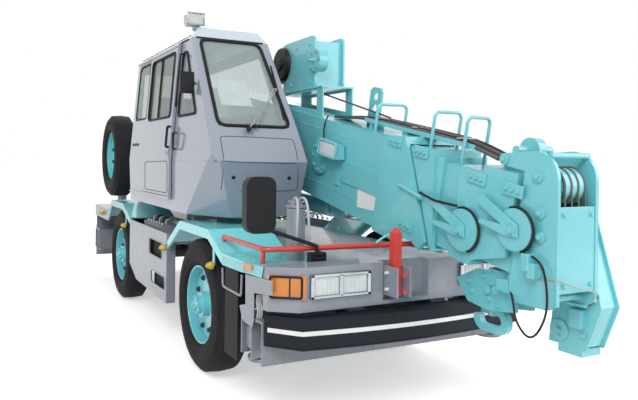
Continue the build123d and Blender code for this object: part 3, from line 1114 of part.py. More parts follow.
with BuildPart() as cab_upper:
    add(cab_shell.part)
    split(bisect_by=Plane.XY.offset(CREASE_Z + SEAT / 2), keep=Keep.TOP)
    split(bisect_by=Plane.XY.offset(GUTTER_Z - SEAT / 2), keep=Keep.BOTTOM)
    with Locations((CAB_RIGHT + CAB_TUMBLE - 15, MID_Y + 175, DOOR_TOP + SEAT + 6)):
        Box(34, 1510, 12)
    # Grab handle before the door, and the square mirror on the pillar bracket
    with BuildLine() as grab_line:
        FilletPolyline((CAB_RIGHT + 20, MID_Y - 715, 1840), (CAB_RIGHT - 35, MID_Y - 715, 1840),
                       (CAB_RIGHT - 35, MID_Y - 715, 1700), (CAB_RIGHT + 20, MID_Y - 715, 1700), radius=14)
    with BuildSketch(Plane(origin=grab_line.line @ 0, z_dir=grab_line.line % 0)):
        Circle(9)
    sweep()
    with Locations((CAB_RIGHT + 72, MID_Y - 1060, 2235)):
        Box(100, 22, 26, align=(Align.MAX, Align.CENTER, Align.CENTER))
    with Locations((CAB_RIGHT + 32, MID_Y - 1060, 2235)):
        Box(116, 24, 175, align=(Align.MAX, Align.CENTER, Align.CENTER))
finish(cab_upper.part, "cab_upper")

with BuildPart() as cab_roof:
    add(cab_shell.part)
    split(bisect_by=Plane.XY.offset(GUTTER_Z + SEAT / 2), keep=Keep.TOP)
    # Work lamp on its bracket at the front right of the roof
    with Locations((CAB_RIGHT + CAB_TUMBLE + 86, MID_Y - 680, CAB_TOP - 25)):
        Box(60, 14, 60, align=(Align.CENTER, Align.CENTER, Align.MIN))
    with BuildSketch(Plane.XZ.offset(-(MID_Y - 650))):
        with Locations((CAB_RIGHT + CAB_TUMBLE + 66, CAB_TOP + 70)):
            RectangleRounded(156, 112, 24)
    extrude(amount=90, taper=0)
finish(cab_roof.part, "cab_roof")

with BuildPart() as pane_layer:
    add(cab_body(GLASS_INSET))
    add(cab_body(GLASS_INSET + GLASS_THICKNESS), mode=Mode.SUBTRACT)
with BuildPart() as window_blocks:
    for _, where, outline in WINDOWS:
        add(prism(where, outline, SEAT))
with BuildPart() as cab_glass:
    add(pane_layer.part)
    add(window_blocks.part, mode=Mode.INTERSECT)
finish(cab_glass.part, "cab_glass")

# Sliding door: it stands proud of the cab side and runs back along it
with BuildPart() as door_layer:
    add(cab_body(-MOVE_GAP - 24))
    add(cab_body(-MOVE_GAP), mode=Mode.SUBTRACT)
with BuildPart() as cab_door:
    add(door_layer.part)
    add(prism("right", DOOR_OUTLINE), mode=Mode.INTERSECT)
    add(prism("right", DOOR_WINDOW), mode=Mode.SUBTRACT)
finish(cab_door.part, "cab_door")

with BuildPart() as door_pane_layer:
    add(cab_body(-MOVE_GAP - 16))
    add(cab_body(-MOVE_GAP - 10), mode=Mode.SUBTRACT)
with BuildPart() as door_glass:
    add(door_pane_layer.part)
    add(prism("right", DOOR_WINDOW, SEAT), mode=Mode.INTERSECT)
finish(door_glass.part, "door_glass")

# Cab interior: seat on its riser, control console and steering wheel
FLOOR_Z = CAB_BOTTOM + CAB_WALL + SEAT
with BuildPart() as cab_interior:
    with Locations((-540, MID_Y + 150, FLOOR_Z + 150)):
        Box(360, 420, 300)
    with Locations((-540, MID_Y + 130, FLOOR_Z + 350)):
        Box(500, 520, 110)
    with Locations(Location((-540, MID_Y + 400, FLOOR_Z + 680), (-8, 0, 0))):
        Box(460, 100, 620)
    with Locations((-280, MID_Y - 50, FLOOR_Z + 250)):
        Box(140, 500, 500)
    with Locations((-540, MID_Y - 900, FLOOR_Z + 200)):
        Box(500, 200, 400)
    with Locations(Location((-540, MID_Y - 690, FLOOR_Z + 420), (-30, 0, 0))):
        Cylinder(28, 640)
        with Locations((0, 0, 300)):
            Torus(190, 16)
            Box(360, 30, 20)
finish(cab_interior.part, "cab_interior")

# Spare wheel on its bracket behind the cab
with BuildPart() as spare_wheel:
    spare_plane = Plane(origin=(SPARE_X, SPARE_Y, SPARE_Z), x_dir=(1, 0, 0), z_dir=(0, -1, 0))
    with BuildSketch(spare_plane):
        rounded_tyre()
    revolve(axis=Axis((SPARE_X, SPARE_Y, SPARE_Z), (1, 0, 0)))
    with Locations(Location((SPARE_X, SPARE_Y, SPARE_Z), (0, 90, 0))):
        Cylinder(RIM_OD / 2 - 6, 60)
        Cylinder(90, SPARE_BRACKET_X - SEAT - SPARE_X, align=(Align.CENTER, Align.CENTER, Align.MIN))
finish(spare_wheel.part, "spare_wheel")
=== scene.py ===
"""Looks for the rough terrain crane: materials, small fittings, hoses, floor, light and camera."""

from math import cos, pi, radians, sin

import bmesh
import bpy
from mathutils import Matrix, Vector
from mathutils.bvhtree import BVHTree


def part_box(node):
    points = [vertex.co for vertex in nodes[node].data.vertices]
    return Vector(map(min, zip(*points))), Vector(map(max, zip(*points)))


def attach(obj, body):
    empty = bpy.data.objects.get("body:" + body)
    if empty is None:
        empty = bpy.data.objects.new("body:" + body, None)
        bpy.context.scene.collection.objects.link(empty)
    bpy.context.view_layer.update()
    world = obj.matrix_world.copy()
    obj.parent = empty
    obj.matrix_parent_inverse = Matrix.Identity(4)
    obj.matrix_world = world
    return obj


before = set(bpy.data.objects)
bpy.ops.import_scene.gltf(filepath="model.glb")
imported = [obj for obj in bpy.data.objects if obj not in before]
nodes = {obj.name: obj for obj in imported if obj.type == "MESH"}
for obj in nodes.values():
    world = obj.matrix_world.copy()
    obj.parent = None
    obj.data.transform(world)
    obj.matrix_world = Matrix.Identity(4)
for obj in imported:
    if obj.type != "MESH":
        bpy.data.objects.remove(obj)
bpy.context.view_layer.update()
CORNERS = (("front_left", 1, -1), ("front_right", -1, -1), ("rear_left", 1, 1), ("rear_right", -1, 1))
SIDES = ((-1, "right"), (1, "left"))
SQUARE = ((-1, -1), (1, -1), (1, 1), (-1, 1))
UPPER, LOWER, HEAD = "superstructure", "carrier", "boom_head_body"


# Materials

def linear(r, g, b):
    """Scene colour from screen values of 0 to 255."""
    out = []
    for v in (r, g, b):
        v /= 255.0
        out.append(v / 12.92 if v <= 0.04045 else ((v + 0.055) / 1.055) ** 2.4)
    return (*out, 1.0)


def scaled(colour, k):
    return (*(min(1.0, c * k) for c in colour[:3]), 1.0)


class Shader:
    """A node material with the Principled shader and short calls for the usual nodes."""

    def __init__(self, name, **sockets):
        self.mat = bpy.data.materials.new(name)
        self.mat.use_nodes = True
        self.tree = self.mat.node_tree
        self.bsdf = self.tree.nodes["Principled BSDF"]
        for key, value in sockets.items():
            self.bsdf.inputs[key.replace("_", " ")].default_value = value
        self.coord = self.tree.nodes.new("ShaderNodeTexCoord").outputs["Object"]

    def feed(self, socket, value):
        """A link where the value is an output of another node, else a plain value."""
        if isinstance(value, bpy.types.NodeSocket):
            self.tree.links.new(value, socket)
        else:
            socket.default_value = value

    def node(self, kind, **inputs):
        n = self.tree.nodes.new(kind)
        for key, value in inputs.items():
            self.feed(n.inputs[key.replace("_", " ")], value)
        return n

    def noise(self, scale, detail=3.0, rough=0.55, stretch=None):
        vector = self.coord
        if stretch:
            vector = self.node("ShaderNodeMapping", Vector=vector, Scale=stretch).outputs[0]
        return self.node("ShaderNodeTexNoise", Vector=vector, Scale=scale, Detail=detail,
                         Roughness=rough).outputs["Fac"]

    def ramp(self, value, low, high, a=0.0, b=1.0):
        """The range low to high turned into a to b."""
        return self.node("ShaderNodeMapRange", Value=value, From_Min=low, From_Max=high, To_Min=a,
                         To_Max=b).outputs[0]

    def mix(self, fac, a, b):
        n = self.tree.nodes.new("ShaderNodeMix")
        n.data_type = "RGBA"
        for index, value in ((0, fac), (6, a), (7, b)):
            self.feed(n.inputs[index], value)
        return n.outputs[2]

    def maths(self, op, a, b=0.0):
        n = self.tree.nodes.new("ShaderNodeMath")
        n.operation = op
        for socket, value in zip(n.inputs, (a, b)):
            self.feed(socket, value)
        return n.outputs[0]

    def axis(self, letter):
        return self.node("ShaderNodeSeparateXYZ", Vector=self.coord).outputs[letter]

    def to(self, name, value):
        self.tree.links.new(value, self.bsdf.inputs[name])

    def bump(self, height, distance=0.002, strength=0.4, edges=0.0):
        n = self.node("ShaderNodeBump", Height=height, Distance=distance, Strength=strength)
        if edges:
            bevel = self.node("ShaderNodeBevel", Radius=edges)
            bevel.samples = 4
            self.feed(n.inputs["Normal"], bevel.outputs[0])
        self.to("Normal", n.outputs[0])


DIRT, DIRT_TOP, DIRT_FOOT = linear(92, 84, 72), 1.5, 0.3
PAINT_EDGE, ORANGE_PEEL = 0.004, 0.0006


def paint(name, colour, rough=0.32, coat=0.6, vary=0.08, grime=0.25, peel=0.15, spread=0.16, **sockets):
    """Enamel paint: slight tone drift, dirt low down and in patches, orange peel and soft edges."""
    s = Shader(name, Roughness=rough, Coat_Weight=coat, Coat_Roughness=0.08, **sockets)
    colour = linear(*colour)
    broad = s.noise(1.6, 4.0)
    fine = s.noise(23.0, 5.0, 0.7)
    base = s.mix(s.ramp(broad, 0.35, 0.65), scaled(colour, 1 - vary), scaled(colour, 1 + vary))
    low_down = s.ramp(s.axis("Z"), DIRT_TOP, DIRT_FOOT, 0.12, 1.0)
    dirt = s.maths("MULTIPLY", s.ramp(fine, 0.52, 0.78), low_down)
    s.to("Base Color", s.mix(s.maths("MULTIPLY", dirt, grime), base, DIRT))
    s.to("Roughness", s.ramp(fine, 0.35, 0.75, rough * (1 - spread), rough + spread))
    s.bump(s.noise(260.0, 2.0), ORANGE_PEEL, peel, PAINT_EDGE)
    return s.mat


def plain(name, colour, rough, metal=0.0, scale=60.0, vary=0.15, bump=0.25, distance=0.001, edges=0.0,
          stretch=None, coat=0.0, **sockets):
    """Moulded plastic, rubber, cast or bare metal, by its grain and roughness."""
    s = Shader(name, Roughness=rough, Metallic=metal, Coat_Weight=coat, **sockets)
    colour = linear(*colour)
    grain = s.noise(scale, 4.0, 0.6, stretch)
    patch = s.noise(4.0, 3.0)
    s.to("Base Color", s.mix(s.ramp(patch, 0.35, 0.68), scaled(colour, 1 - vary), scaled(colour, 1 + vary)))
    s.to("Roughness", s.ramp(grain, 0.3, 0.7, max(0.02, rough - 0.08), min(1.0, rough + 0.1)))
    s.bump(grain, distance, bump, edges)
    return s.mat


def glass(name, colour, alpha, rough=0.03):
    """Thin safety glass: partly see-through, with the coat's gloss and faint dirt."""
    s = Shader(name, Roughness=rough, IOR=1.5, Coat_Weight=0.5)
    colour = linear(*colour)
    s.to("Base Color", s.mix(s.noise(5.0, 4.0), scaled(colour, 0.92), scaled(colour, 1.05)))
    s.to("Alpha", s.ramp(s.noise(9.0, 5.0), 0.3, 0.75, alpha, min(1.0, alpha + 0.06)))
    s.bump(s.noise(2.0, 1.0), 0.002, 0.05)
    return s.mat


M = {
    "teal": paint("teal_paint", (112, 196, 204), vary=0.05),
    "teal_light": paint("teal_light", (124, 220, 224), rough=0.28, vary=0.04),
    "grey": paint("carrier_grey", (138, 144, 154), grime=0.3, coat=0.35),
    "sleeve": paint("sleeve_grey", (128, 133, 142), rough=0.45, grime=0.6),
    "cab": paint("cab_grey", (142, 150, 163), rough=0.2, coat=0.7, vary=0.02, grime=0.03, peel=0.0,
                 spread=0.03),
    "roof": paint("roof_grey", (190, 204, 212), rough=0.3, coat=0.3, vary=0.02, grime=0.05, peel=0.0),
    "bumper": paint("bumper_dark", (24, 27, 36), rough=0.5, coat=0.0, vary=0.12, grime=0.06,
                    Specular_IOR_Level=0.2),
    "red": paint("rail_red", (214, 56, 46), rough=0.35, vary=0.08, grime=0.2),
    "white": paint("stripe_white", (226, 228, 226), rough=0.4, grime=0.2),
    "yellow": paint("cone_yellow", (196, 170, 34), rough=0.4, coat=0.3, grime=0.2),
    "tyre": plain("tyre_rubber", (33, 33, 35), 0.78, scale=90.0, vary=0.2, bump=0.45, distance=0.002,
                  Specular_IOR_Level=0.22),
    "rubber": plain("seal_rubber", (22, 22, 24), 0.62, scale=140.0, Specular_IOR_Level=0.25),
    "hose": plain("hose_rubber", (26, 26, 29), 0.5, scale=220.0, bump=0.35, Specular_IOR_Level=0.3),
    "plastic": plain("black_plastic", (22, 22, 25), 0.42, scale=320.0, bump=0.2, edges=0.004,
                     Specular_IOR_Level=0.25),
    "interior": plain("interior_plastic", (92, 96, 102), 0.6, scale=260.0, edges=0.008),
    "seat": plain("seat_cloth", (64, 68, 76), 0.85, scale=420.0, bump=0.5, edges=0.02),
    "iron": plain("cast_iron", (58, 60, 64), 0.6, metal=0.3, scale=70.0, bump=0.5, distance=0.002,
                  edges=0.004),
    "steel": plain("bare_steel", (170, 172, 176), 0.32, metal=0.9, scale=30.0, stretch=(1, 1, 14),
                   edges=0.001),
    "rod": plain("chromed_rod", (205, 208, 212), 0.12, metal=1.0, scale=24.0, bump=0.05),
    "rope": plain("wire_rope", (96, 96, 92), 0.5, metal=0.7, scale=500.0, bump=0.8),
    "chrome": plain("chrome_bezel", (176, 180, 186), 0.14, metal=1.0, scale=20.0, bump=0.06),
    "glass": glass("cab_glass", (190, 206, 206), 0.28),
    "side_glass": glass("side_glass", (96, 122, 112), 0.55),
    "lens": glass("lamp_lens", (216, 220, 220), 0.62, 0.12),
    "amber": plain("amber_lens", (206, 122, 22), 0.18, scale=180.0, bump=0.6, coat=0.6),
    "tail_red": plain("tail_lens", (176, 28, 24), 0.2, scale=180.0, bump=0.6, coat=0.6),
    # Painted shade: near-black for the tyre grooves and for the backs behind the side panel windows
    "black": plain("deep_black", (10, 10, 11), 0.8, scale=90.0),
    "seam": plain("seam_shadow", (70, 76, 84), 0.7, scale=90.0),
    "paper": plain("blank_sheet", (232, 234, 232), 0.6, scale=140.0, vary=0.03, bump=0.1),
    "pale_hose": plain("pale_hose", (176, 180, 182), 0.5, scale=200.0, bump=0.3),
    "lens_face": plain("lamp_glass_face", (206, 212, 214), 0.1, scale=60.0, vary=0.12, bump=0.5,
                       coat=1.0),
}


def each(prefix):
    """A name for each corner of the vehicle."""
    return [prefix + corner[0] for corner in CORNERS]


NODE_LOOKS = {
    "teal": ["boom_base", "boom_section_2", "boom_section_3", "boom_head", "hoist_winch", "hook_block",
             "jib", "luff_barrel", "slew_frame", "rear_fenders"] + each("rim_"),
    "teal_light": ["front_fenders"],
    "grey": ["deck_plates", "side_panels", "front_panel", "rear_panel", "counterweight", "jack_barrels"],
    "sleeve": ["chassis_frame", "outrigger_sleeves"] + each("outrigger_arm_") + each("outrigger_beam_"),
    "cab": ["cab_tub", "cab_upper", "cab_door"],
    "roof": ["cab_roof"],
    "glass": ["cab_glass"],
    "side_glass": ["door_glass"],
    "interior": ["cab_interior"],
    "bumper": ["front_bumper"],
    "red": ["front_rail"],
    "plastic": ["front_mirror"],
    "rubber": ["mud_flaps"],
    "tyre": each("tyre_") + ["spare_wheel"],
    "iron": ["axles", "engine_block"] + each("knuckle_"),
    "rod": ["luff_rod"] + each("jack_rod_"),
    "amber": ["marker_lamps"],
    "lens": ["headlamps"],
}
for look, names in NODE_LOOKS.items():
    for name in names:
        mesh = nodes[name].data
        mesh.materials.clear()
        mesh.materials.append(M[look])


# Building blocks

SHARP_ANGLE, ROUND_ANGLE = 35.0, radians(32)


def smooth(mesh, angle=SHARP_ANGLE):
    """Round surfaces shade smooth and real edges stay sharp."""
    bm = bmesh.new()
    bm.from_mesh(mesh)
    for face in bm.faces:
        face.smooth = True
    for edge in bm.edges:
        edge.smooth = len(edge.link_faces) == 2 and edge.calc_face_angle(pi) < radians(angle)
    bm.to_mesh(mesh)
    bm.free()


def linked(name, data):
    """A new object in the scene."""
    obj = bpy.data.objects.new(name, data)
    bpy.context.scene.collection.objects.link(obj)
    return obj


def mesh_of(bm, name):
    """The mesh of an edited shape, which ends with it."""
    mesh = bpy.data.meshes.new(name)
    bm.to_mesh(mesh)
    bm.free()
    return mesh


def place(mesh, name, look, body, bevel=0.0, segments=2):
    """An object from a mesh, with its material, its rounded edges and the body that it rides on."""
    obj = linked(name, mesh)
    mesh.materials.append(M[look])
    if bevel:
        mod = obj.modifiers.new("round", "BEVEL")
        mod.width, mod.segments, mod.limit_method, mod.angle_limit = bevel, segments, "ANGLE", ROUND_ANGLE
    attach(obj, body)
    return obj


def facing(normal):
    """Turn that carries +Z to the normal and +Y upwards."""
    z = Vector(normal).normalized()
    y = Vector((0, 0, 1)) - z.z * z
    if y.length < 1e-6:
        y = Vector((0, 1, 0)) - z.y * z
    y.normalize()
    return Matrix((y.cross(z), y, z)).transposed().to_4x4()


class Shape:
    """One mesh gathered from simple solids placed by matrices."""

    def __init__(self):
        self.bm = bmesh.new()

    def add(self, made, matrix):
        bmesh.ops.transform(self.bm, matrix=matrix, verts=made)
        return self

    def block(self, at, size, turn=None):
        made = bmesh.ops.create_cube(self.bm, size=1.0)["verts"]
        bmesh.ops.scale(self.bm, vec=size, verts=made)
        return self.add(made, Matrix.Translation(at) @ (turn or Matrix.Identity(4)))

    def disc(self, at, radius, length, normal=(0, 0, 1), radius2=None, sides=32):
        made = bmesh.ops.create_cone(self.bm, cap_ends=True, segments=sides, radius1=radius,
                                     radius2=radius if radius2 is None else radius2, depth=length)["verts"]
        return self.add(made, Matrix.Translation(at) @ facing(normal))

    def rod(self, a, b, radius, sides=16):
        a, b = Vector(a), Vector(b)
        return self.disc((a + b) / 2, radius, (b - a).length, b - a, sides=sides)

    def plate(self, outline, thickness, matrix):
        """A flat plate from its outline in the matrix's XY plane, thickness along +Z."""
        low = [self.bm.verts.new((x, y, 0)) for x, y in outline]
        high = [self.bm.verts.new((x, y, thickness)) for x, y in outline]
        n = len(outline)
        following = outline[1:] + outline[:1]
        if sum(x * y2 - x2 * y for (x, y), (x2, y2) in zip(outline, following)) < 0:
            low.reverse()
            high.reverse()
        self.bm.faces.new(list(reversed(low)))
        self.bm.faces.new(high)
        for i in range(n):
            self.bm.faces.new((low[i], low[(i + 1) % n], high[(i + 1) % n], high[i]))
        return self.add(low + high, matrix)

    def mesh(self, name):
        mesh = mesh_of(self.bm, name)
        smooth(mesh)
        return mesh

    def put(self, name, look, body, bevel=0.0):
        return place(self.mesh(name), name, look, body, bevel)


def curve(name, points, radius, look, body, closed=False, smooth_line=True):
    """A round hose, pipe or bead along a smooth line."""
    data = bpy.data.curves.new(name, "CURVE")
    data.dimensions, data.bevel_depth, data.bevel_resolution, data.resolution_u = "3D", radius, 3, 8
    data.use_fill_caps = True
    spline = data.splines.new("NURBS" if smooth_line else "POLY")
    spline.points.add(len(points) - 1)
    for point, at in zip(spline.points, points):
        point.co = (*at, 1.0)
    if smooth_line:
        spline.order_u = 3
        spline.use_endpoint_u = not closed
    spline.use_cyclic_u = closed
    data.materials.append(M[look])
    obj = linked(name, data)
    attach(obj, body)
    return obj


def line(name, points, radius, look, body):
    """A round bar or bead, straight from point to point."""
    return curve(name, points, radius, look, body, smooth_line=False)


ROUND_NODES = ("tyre", "rim", "jack", "spare", "luff", "axles", "knuckle", "front_mirror", "front_rail")
for obj in nodes.values():
    if obj.name.startswith(ROUND_NODES):
        for face in obj.data.polygons:
            face.use_smooth = True


# Camera: picture size, focal length and picture centre in photograph pixels, then its place and turn

PICTURE_W, PICTURE_H, SENSOR = 638.0, 400.0, 36.0
FOCAL, CENTRE_U, CENTRE_V = 628.5, 280.0, 160.0
EYE = Vector((-2.537, -5.586, 1.626))
AZIMUTH, DIP, ROLL = radians(26.25), radians(0.10), radians(0.71)
forward = Vector((sin(AZIMUTH) * cos(DIP), cos(AZIMUTH) * cos(DIP), -sin(DIP)))
level = Vector((cos(AZIMUTH), -sin(AZIMUTH), 0.0))
upright = level.cross(forward)
right = level * cos(ROLL) + upright * sin(ROLL)
up = -level * sin(ROLL) + upright * cos(ROLL)
camera_data = bpy.data.cameras.new("camera")
camera_data.sensor_width = SENSOR
camera_data.lens = FOCAL * SENSOR / PICTURE_W
camera_data.shift_x = (PICTURE_W / 2 - CENTRE_U) / PICTURE_W
camera_data.shift_y = -(PICTURE_H / 2 - CENTRE_V) / PICTURE_W
camera_data.clip_end = 400.0
camera = linked("camera", camera_data)
camera.matrix_world = Matrix.Translation(EYE) @ Matrix((right, up, -forward)).transposed().to_4x4()
bpy.context.scene.camera = camera
bpy.context.scene.view_settings.view_transform = "Standard"


# Finding places: a photograph pixel or a straight probe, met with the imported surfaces

def sight(u, v):
    """Direction from the eye through a photograph pixel."""
    return (forward * FOCAL + right * (u - CENTRE_U) - up * (v - CENTRE_V)).normalized()


def skin(*names):
    """A search tree over the faces of some nodes."""
    points, faces = [], []
    for name in names:
        mesh = nodes[name].data
        first = len(points)
        points += [v.co.copy() for v in mesh.vertices]
        faces += [[first + i for i in p.vertices] for p in mesh.polygons]
    return BVHTree.FromPolygons(points, faces)


def probe(tree, start, direction, out=0.0):
    """The first surface point on a straight line, moved out along its normal."""
    at, normal, _, _ = tree.ray_cast(Vector(start), Vector(direction).normalized())
    if at is None:
        return None
    if normal.dot(Vector(direction)) > 0:
        normal = -normal
    return at + normal * out, normal


def picks(tree, pixels, out=0.0):
    """Surface points under a list of photograph pixels; those that miss are left out."""
    found = [probe(tree, EYE, sight(*pixel), out) for pixel in pixels]
    return [f[0] for f in found if f]


def on_plane(pixel, axis, value):
    """Where the line through a photograph pixel meets x, y or z at a value."""
    ray = sight(*pixel)
    i = "xyz".index(axis)
    return EYE + ray * ((value - EYE[i]) / ray[i])


def rounded(points, radius, steps=4):
    """Closed line through the points with its corners rounded."""
    out = []
    n = len(points)
    for i in range(n):
        a, b, c = Vector(points[i - 1]), Vector(points[i]), Vector(points[(i + 1) % n])
        r = min(radius, (a - b).length / 2.2, (c - b).length / 2.2)
        p, q = b + (a - b).normalized() * r, b + (c - b).normalized() * r
        for k in range(steps + 1):
            t = k / steps
            out.append(p * (1 - t) ** 2 + b * 2 * t * (1 - t) + q * t ** 2)
    return out


def loop(name, points, radius, look, body, corner):
    """A closed round bead with its corners rounded."""
    return curve(name, rounded(points, corner), radius, look, body, closed=True, smooth_line=False)


def region(node, look, test):
    """Another material on those faces of a node whose middle passes the test."""
    mesh = nodes[node].data
    mesh.materials.append(M[look])
    for p in mesh.polygons:
        if test(p.center):
            p.material_index = len(mesh.materials) - 1


def flat(name, points, thickness, look, body, out, bevel=0.002):
    """A thin plate over points of one plane, its thickness along the direction out."""
    out = Vector(out).normalized()
    origin = Vector(points[0])
    frame_x = (Vector(points[1]) - origin).normalized()
    frame_y = out.cross(frame_x)
    outline = [((Vector(p) - origin).dot(frame_x), (Vector(p) - origin).dot(frame_y)) for p in points]
    matrix = Matrix.Translation(origin) @ Matrix((frame_x, frame_y, out)).transposed().to_4x4()
    return Shape().plate(outline, thickness, matrix).put(name, look, body, bevel)


def bolts(name, spots, normal, radius, look, body, height=None):
    """Hexagon heads on washers."""
    shape = Shape()
    normal = Vector(normal).normalized()
    height = height or radius * 0.9
    for spot in spots:
        spot = Vector(spot)
        shape.disc(spot + normal * height * 0.15, radius * 1.35, height * 0.3, normal, sides=24)
        shape.disc(spot + normal * height * 0.6, radius, height * 0.9, normal, sides=6)
    return shape.put(name, look, body, radius * 0.12)


def ring(centre, radius, count, first=0.0):
    """Evenly spaced points on a circle about an X axis."""
    x, y, z = centre
    turns = [2 * pi * (i + first) / count for i in range(count)]
    return [(x, y + radius * cos(t), z + radius * sin(t)) for t in turns]


def circle(name, centre, radius, thickness, look, body):
    """A closed round bead about an X axis."""
    return curve(name, ring(centre, radius, 48), thickness, look, body, closed=True, smooth_line=False)


def met(tree, starts, direction, out=0.0):
    """The surface points that straight probes meet; those that miss are left out."""
    found = [probe(tree, start, direction, out) for start in starts]
    return [f[0] for f in found if f]


# Regions of nodes, with the places that later sections use too

BOOM_X, DRUM, LAMP_X, LAMP_Z, POST_X = 0.25, (-0.29, 2.51), 0.56, 0.886, -0.19
region("marker_lamps", "yellow", lambda c: abs(c.x) > 0.975 and -1.6 < c.y < 3.0)
region("marker_lamps", "tail_red", lambda c: c.y > 3.3)
region("cab_roof", "chrome", lambda c: c.z > 2.765 and c.y < -0.2)
region("cab_upper", "plastic", lambda c: c.x < -0.9475 and abs(c.y + 0.345) < 0.03 and 1.66 < c.z < 1.88)
region("cab_upper", "plastic", lambda c: c.x < -0.905 and c.y < -0.675 and 2.14 < c.z < 2.33)
region("headlamps", "chrome",
       lambda c: c.y < -2.3 and not (abs(abs(c.x) - LAMP_X) < 0.185 and abs(c.z - LAMP_Z) < 0.054))
region("hoist_winch", "plastic",
       lambda c: (c.y - DRUM[0]) ** 2 + (c.z - DRUM[1]) ** 2 < 0.19 ** 2 and abs(c.x - BOOM_X) < 0.133)
region("front_rail", "white", lambda c: c.y < -2.3 and c.z < 0.985 and abs(c.x - POST_X) > 0.036)
region("slew_frame", "teal_light", lambda c: c.z < 1.0)

# Wheels: black lines of painted shade in the grooves round the tyre, ribs on its side, nuts and hub on the
# rim

TRACK_HALF, AXLE_Z, OUTSIDE, ABOVE_TYRE = 0.845, 0.506, 1.3, 0.7
AXLE_Y = {-1: -1.005, 1: 1.745}
RIBS, FINE_RIBS, GROOVES = (0.478, 0.466, 0.454), (0.372, 0.332), (-0.075, -0.028, 0.028, 0.075)
RIB_SIZE, FINE_RIB_SIZE, GROOVE_SIZE, GROOVE_SINK = 0.0035, 0.0022, 0.004, 0.003
NUT_RING, HUB_RING, LIP_RING = 0.2, 0.062, 0.29
for corner, side, end in CORNERS:
    tyre, rim = skin("tyre_" + corner), skin("rim_" + corner)
    axle_y, body = AXLE_Y[end], "wheel_" + corner
    out = Vector((side, 0, 0))
    start = (side * OUTSIDE, axle_y, AXLE_Z)
    for i, radius in enumerate(RIBS + FINE_RIBS):
        for at in met(tyre, [(start[0], axle_y + radius, AXLE_Z)], -out):
            circle(f"rib_{corner}_{i}", (at.x, axle_y, AXLE_Z), radius,
                   RIB_SIZE if radius in RIBS else FINE_RIB_SIZE, "rubber", body)
    # Painted shade: a near-black ring just over each tread groove stands in for the shade inside it
    for i, groove in enumerate(GROOVES):
        x = side * TRACK_HALF + groove
        for at in met(tyre, [(x, axle_y, AXLE_Z + ABOVE_TYRE)], (0, 0, -1)):
            radius = at.z - AXLE_Z - GROOVE_SINK
            circle(f"groove_{corner}_{i}", (x, axle_y, AXLE_Z), radius, GROOVE_SIZE, "black", body)
    spots = met(rim, ring(start, NUT_RING, 8, 0.5), -out)
    bolts("wheel_nuts_" + corner, spots, out, 0.017, "iron", body, 0.022)
    spots = met(rim, ring(start, HUB_RING, 6), -out)
    bolts("hub_bolts_" + corner, spots, out, 0.009, "teal", body, 0.012)
    for at in met(rim, [start], -out):
        cap = Shape().disc((at.x + side * 0.012, axle_y, AXLE_Z), 0.036, 0.024, out, 0.028)
        cap.disc((at.x + side * 0.03, axle_y, AXLE_Z), 0.014, 0.016, out, sides=6)
        cap.put("hub_cap_" + corner, "teal", body, 0.002)
    for at in met(rim, [(start[0], axle_y + LIP_RING - 0.002, AXLE_Z)], -out):
        circle("rim_lip_" + corner, (at.x, axle_y, AXLE_Z), LIP_RING, 0.006, "teal", body)

# Cab: rubber round the glass, wiper, seams, hatch, vent, sheet, handle and gutters

CAB_SIDE, CAB_LEAN, CREASE, GUTTER = -0.945, 0.085, 1.6, 2.655
FRONT_FOOT, FRONT_TOP, BACK_Y, BACK_LEAN = (-1.07, 1.85), (-0.46, 2.655), 1.43, 0.05


def side_x(z, out=0.0):
    return CAB_SIDE + CAB_LEAN * max(0.0, z - CREASE) / (GUTTER - CREASE) - out


def front_y(z, out=0.0):
    t = (z - FRONT_FOOT[1]) / (FRONT_TOP[1] - FRONT_FOOT[1])
    return FRONT_FOOT[0] + t * (FRONT_TOP[0] - FRONT_FOOT[0]) - out


def back_y(z, out=0.0):
    return BACK_Y - BACK_LEAN * (z - CREASE) / (GUTTER - CREASE) + out


WINDSCREEN = ((-0.83, 1.88), (-0.215, 1.88), (-0.24, 2.64), (-0.79, 2.64))
REAR_SIDE = ((1.29, 2.03), (1.27, 2.56), (1.23, 2.59), (0.85, 2.59), (0.85, 2.03))
QUARTER = ((-0.285, 1.985), (-0.285, 2.54), (-0.39, 2.54), (-0.76, 1.985))
LEFT_SIDE = ((1.22, 2.03), (1.22, 2.56), (-0.33, 2.56), (-0.71, 2.03))
BACK = ((-0.83, 2.03), (-0.235, 2.03), (-0.235, 2.56), (-0.80, 2.56))
DOOR_WINDOW = ((0.625, 1.99), (0.625, 2.57), (-0.13, 2.57), (-0.13, 1.99))
DOOR_EDGE = ((0.715, 1.285), (0.715, 2.61), (-0.205, 2.61), (-0.205, 1.285))
for i, radius in enumerate((0.014, 0.008)):
    rim = [(x, front_y(z, 0.004), z) for x, z in WINDSCREEN]
    loop(f"windscreen_rubber_{i}", rim, radius, "rubber", UPPER, 0.07)
for i, grow in enumerate((0.0, 0.009)):
    wide = [(y + (grow if y > 1.0 else -grow), z + (grow if z > 2.3 else -grow)) for y, z in REAR_SIDE]
    rim = [(side_x(z, -0.0025), y, z) for y, z in wide]
    loop(f"rear_side_rubber_{i}", rim, 0.006, "rubber", UPPER, 0.05)
for name, rim, radius, body, corner in (
    ("quarter_rubber", [(side_x(z, 0.003), y, z) for y, z in QUARTER], 0.011, UPPER, 0.04),
    ("left_rubber", [(-0.148, y, z) for y, z in LEFT_SIDE], 0.011, UPPER, 0.05),
    ("back_rubber", [(x, back_y(z, 0.003), z) for x, z in BACK], 0.011, UPPER, 0.05),
    ("door_window_rubber", [(side_x(z, 0.031), y, z) for y, z in DOOR_WINDOW], 0.011, "door", 0.05),
    ("door_edge_seal", [(side_x(z, 0.028), y, z) for y, z in DOOR_EDGE], 0.004, "door", 0.03),
):
    loop(name, rim, radius, "rubber", body, corner)
line("door_window_split", [(side_x(z, 0.027), 0.29, z) for z in (2.0, 2.56)], 0.009, "rubber", "door")

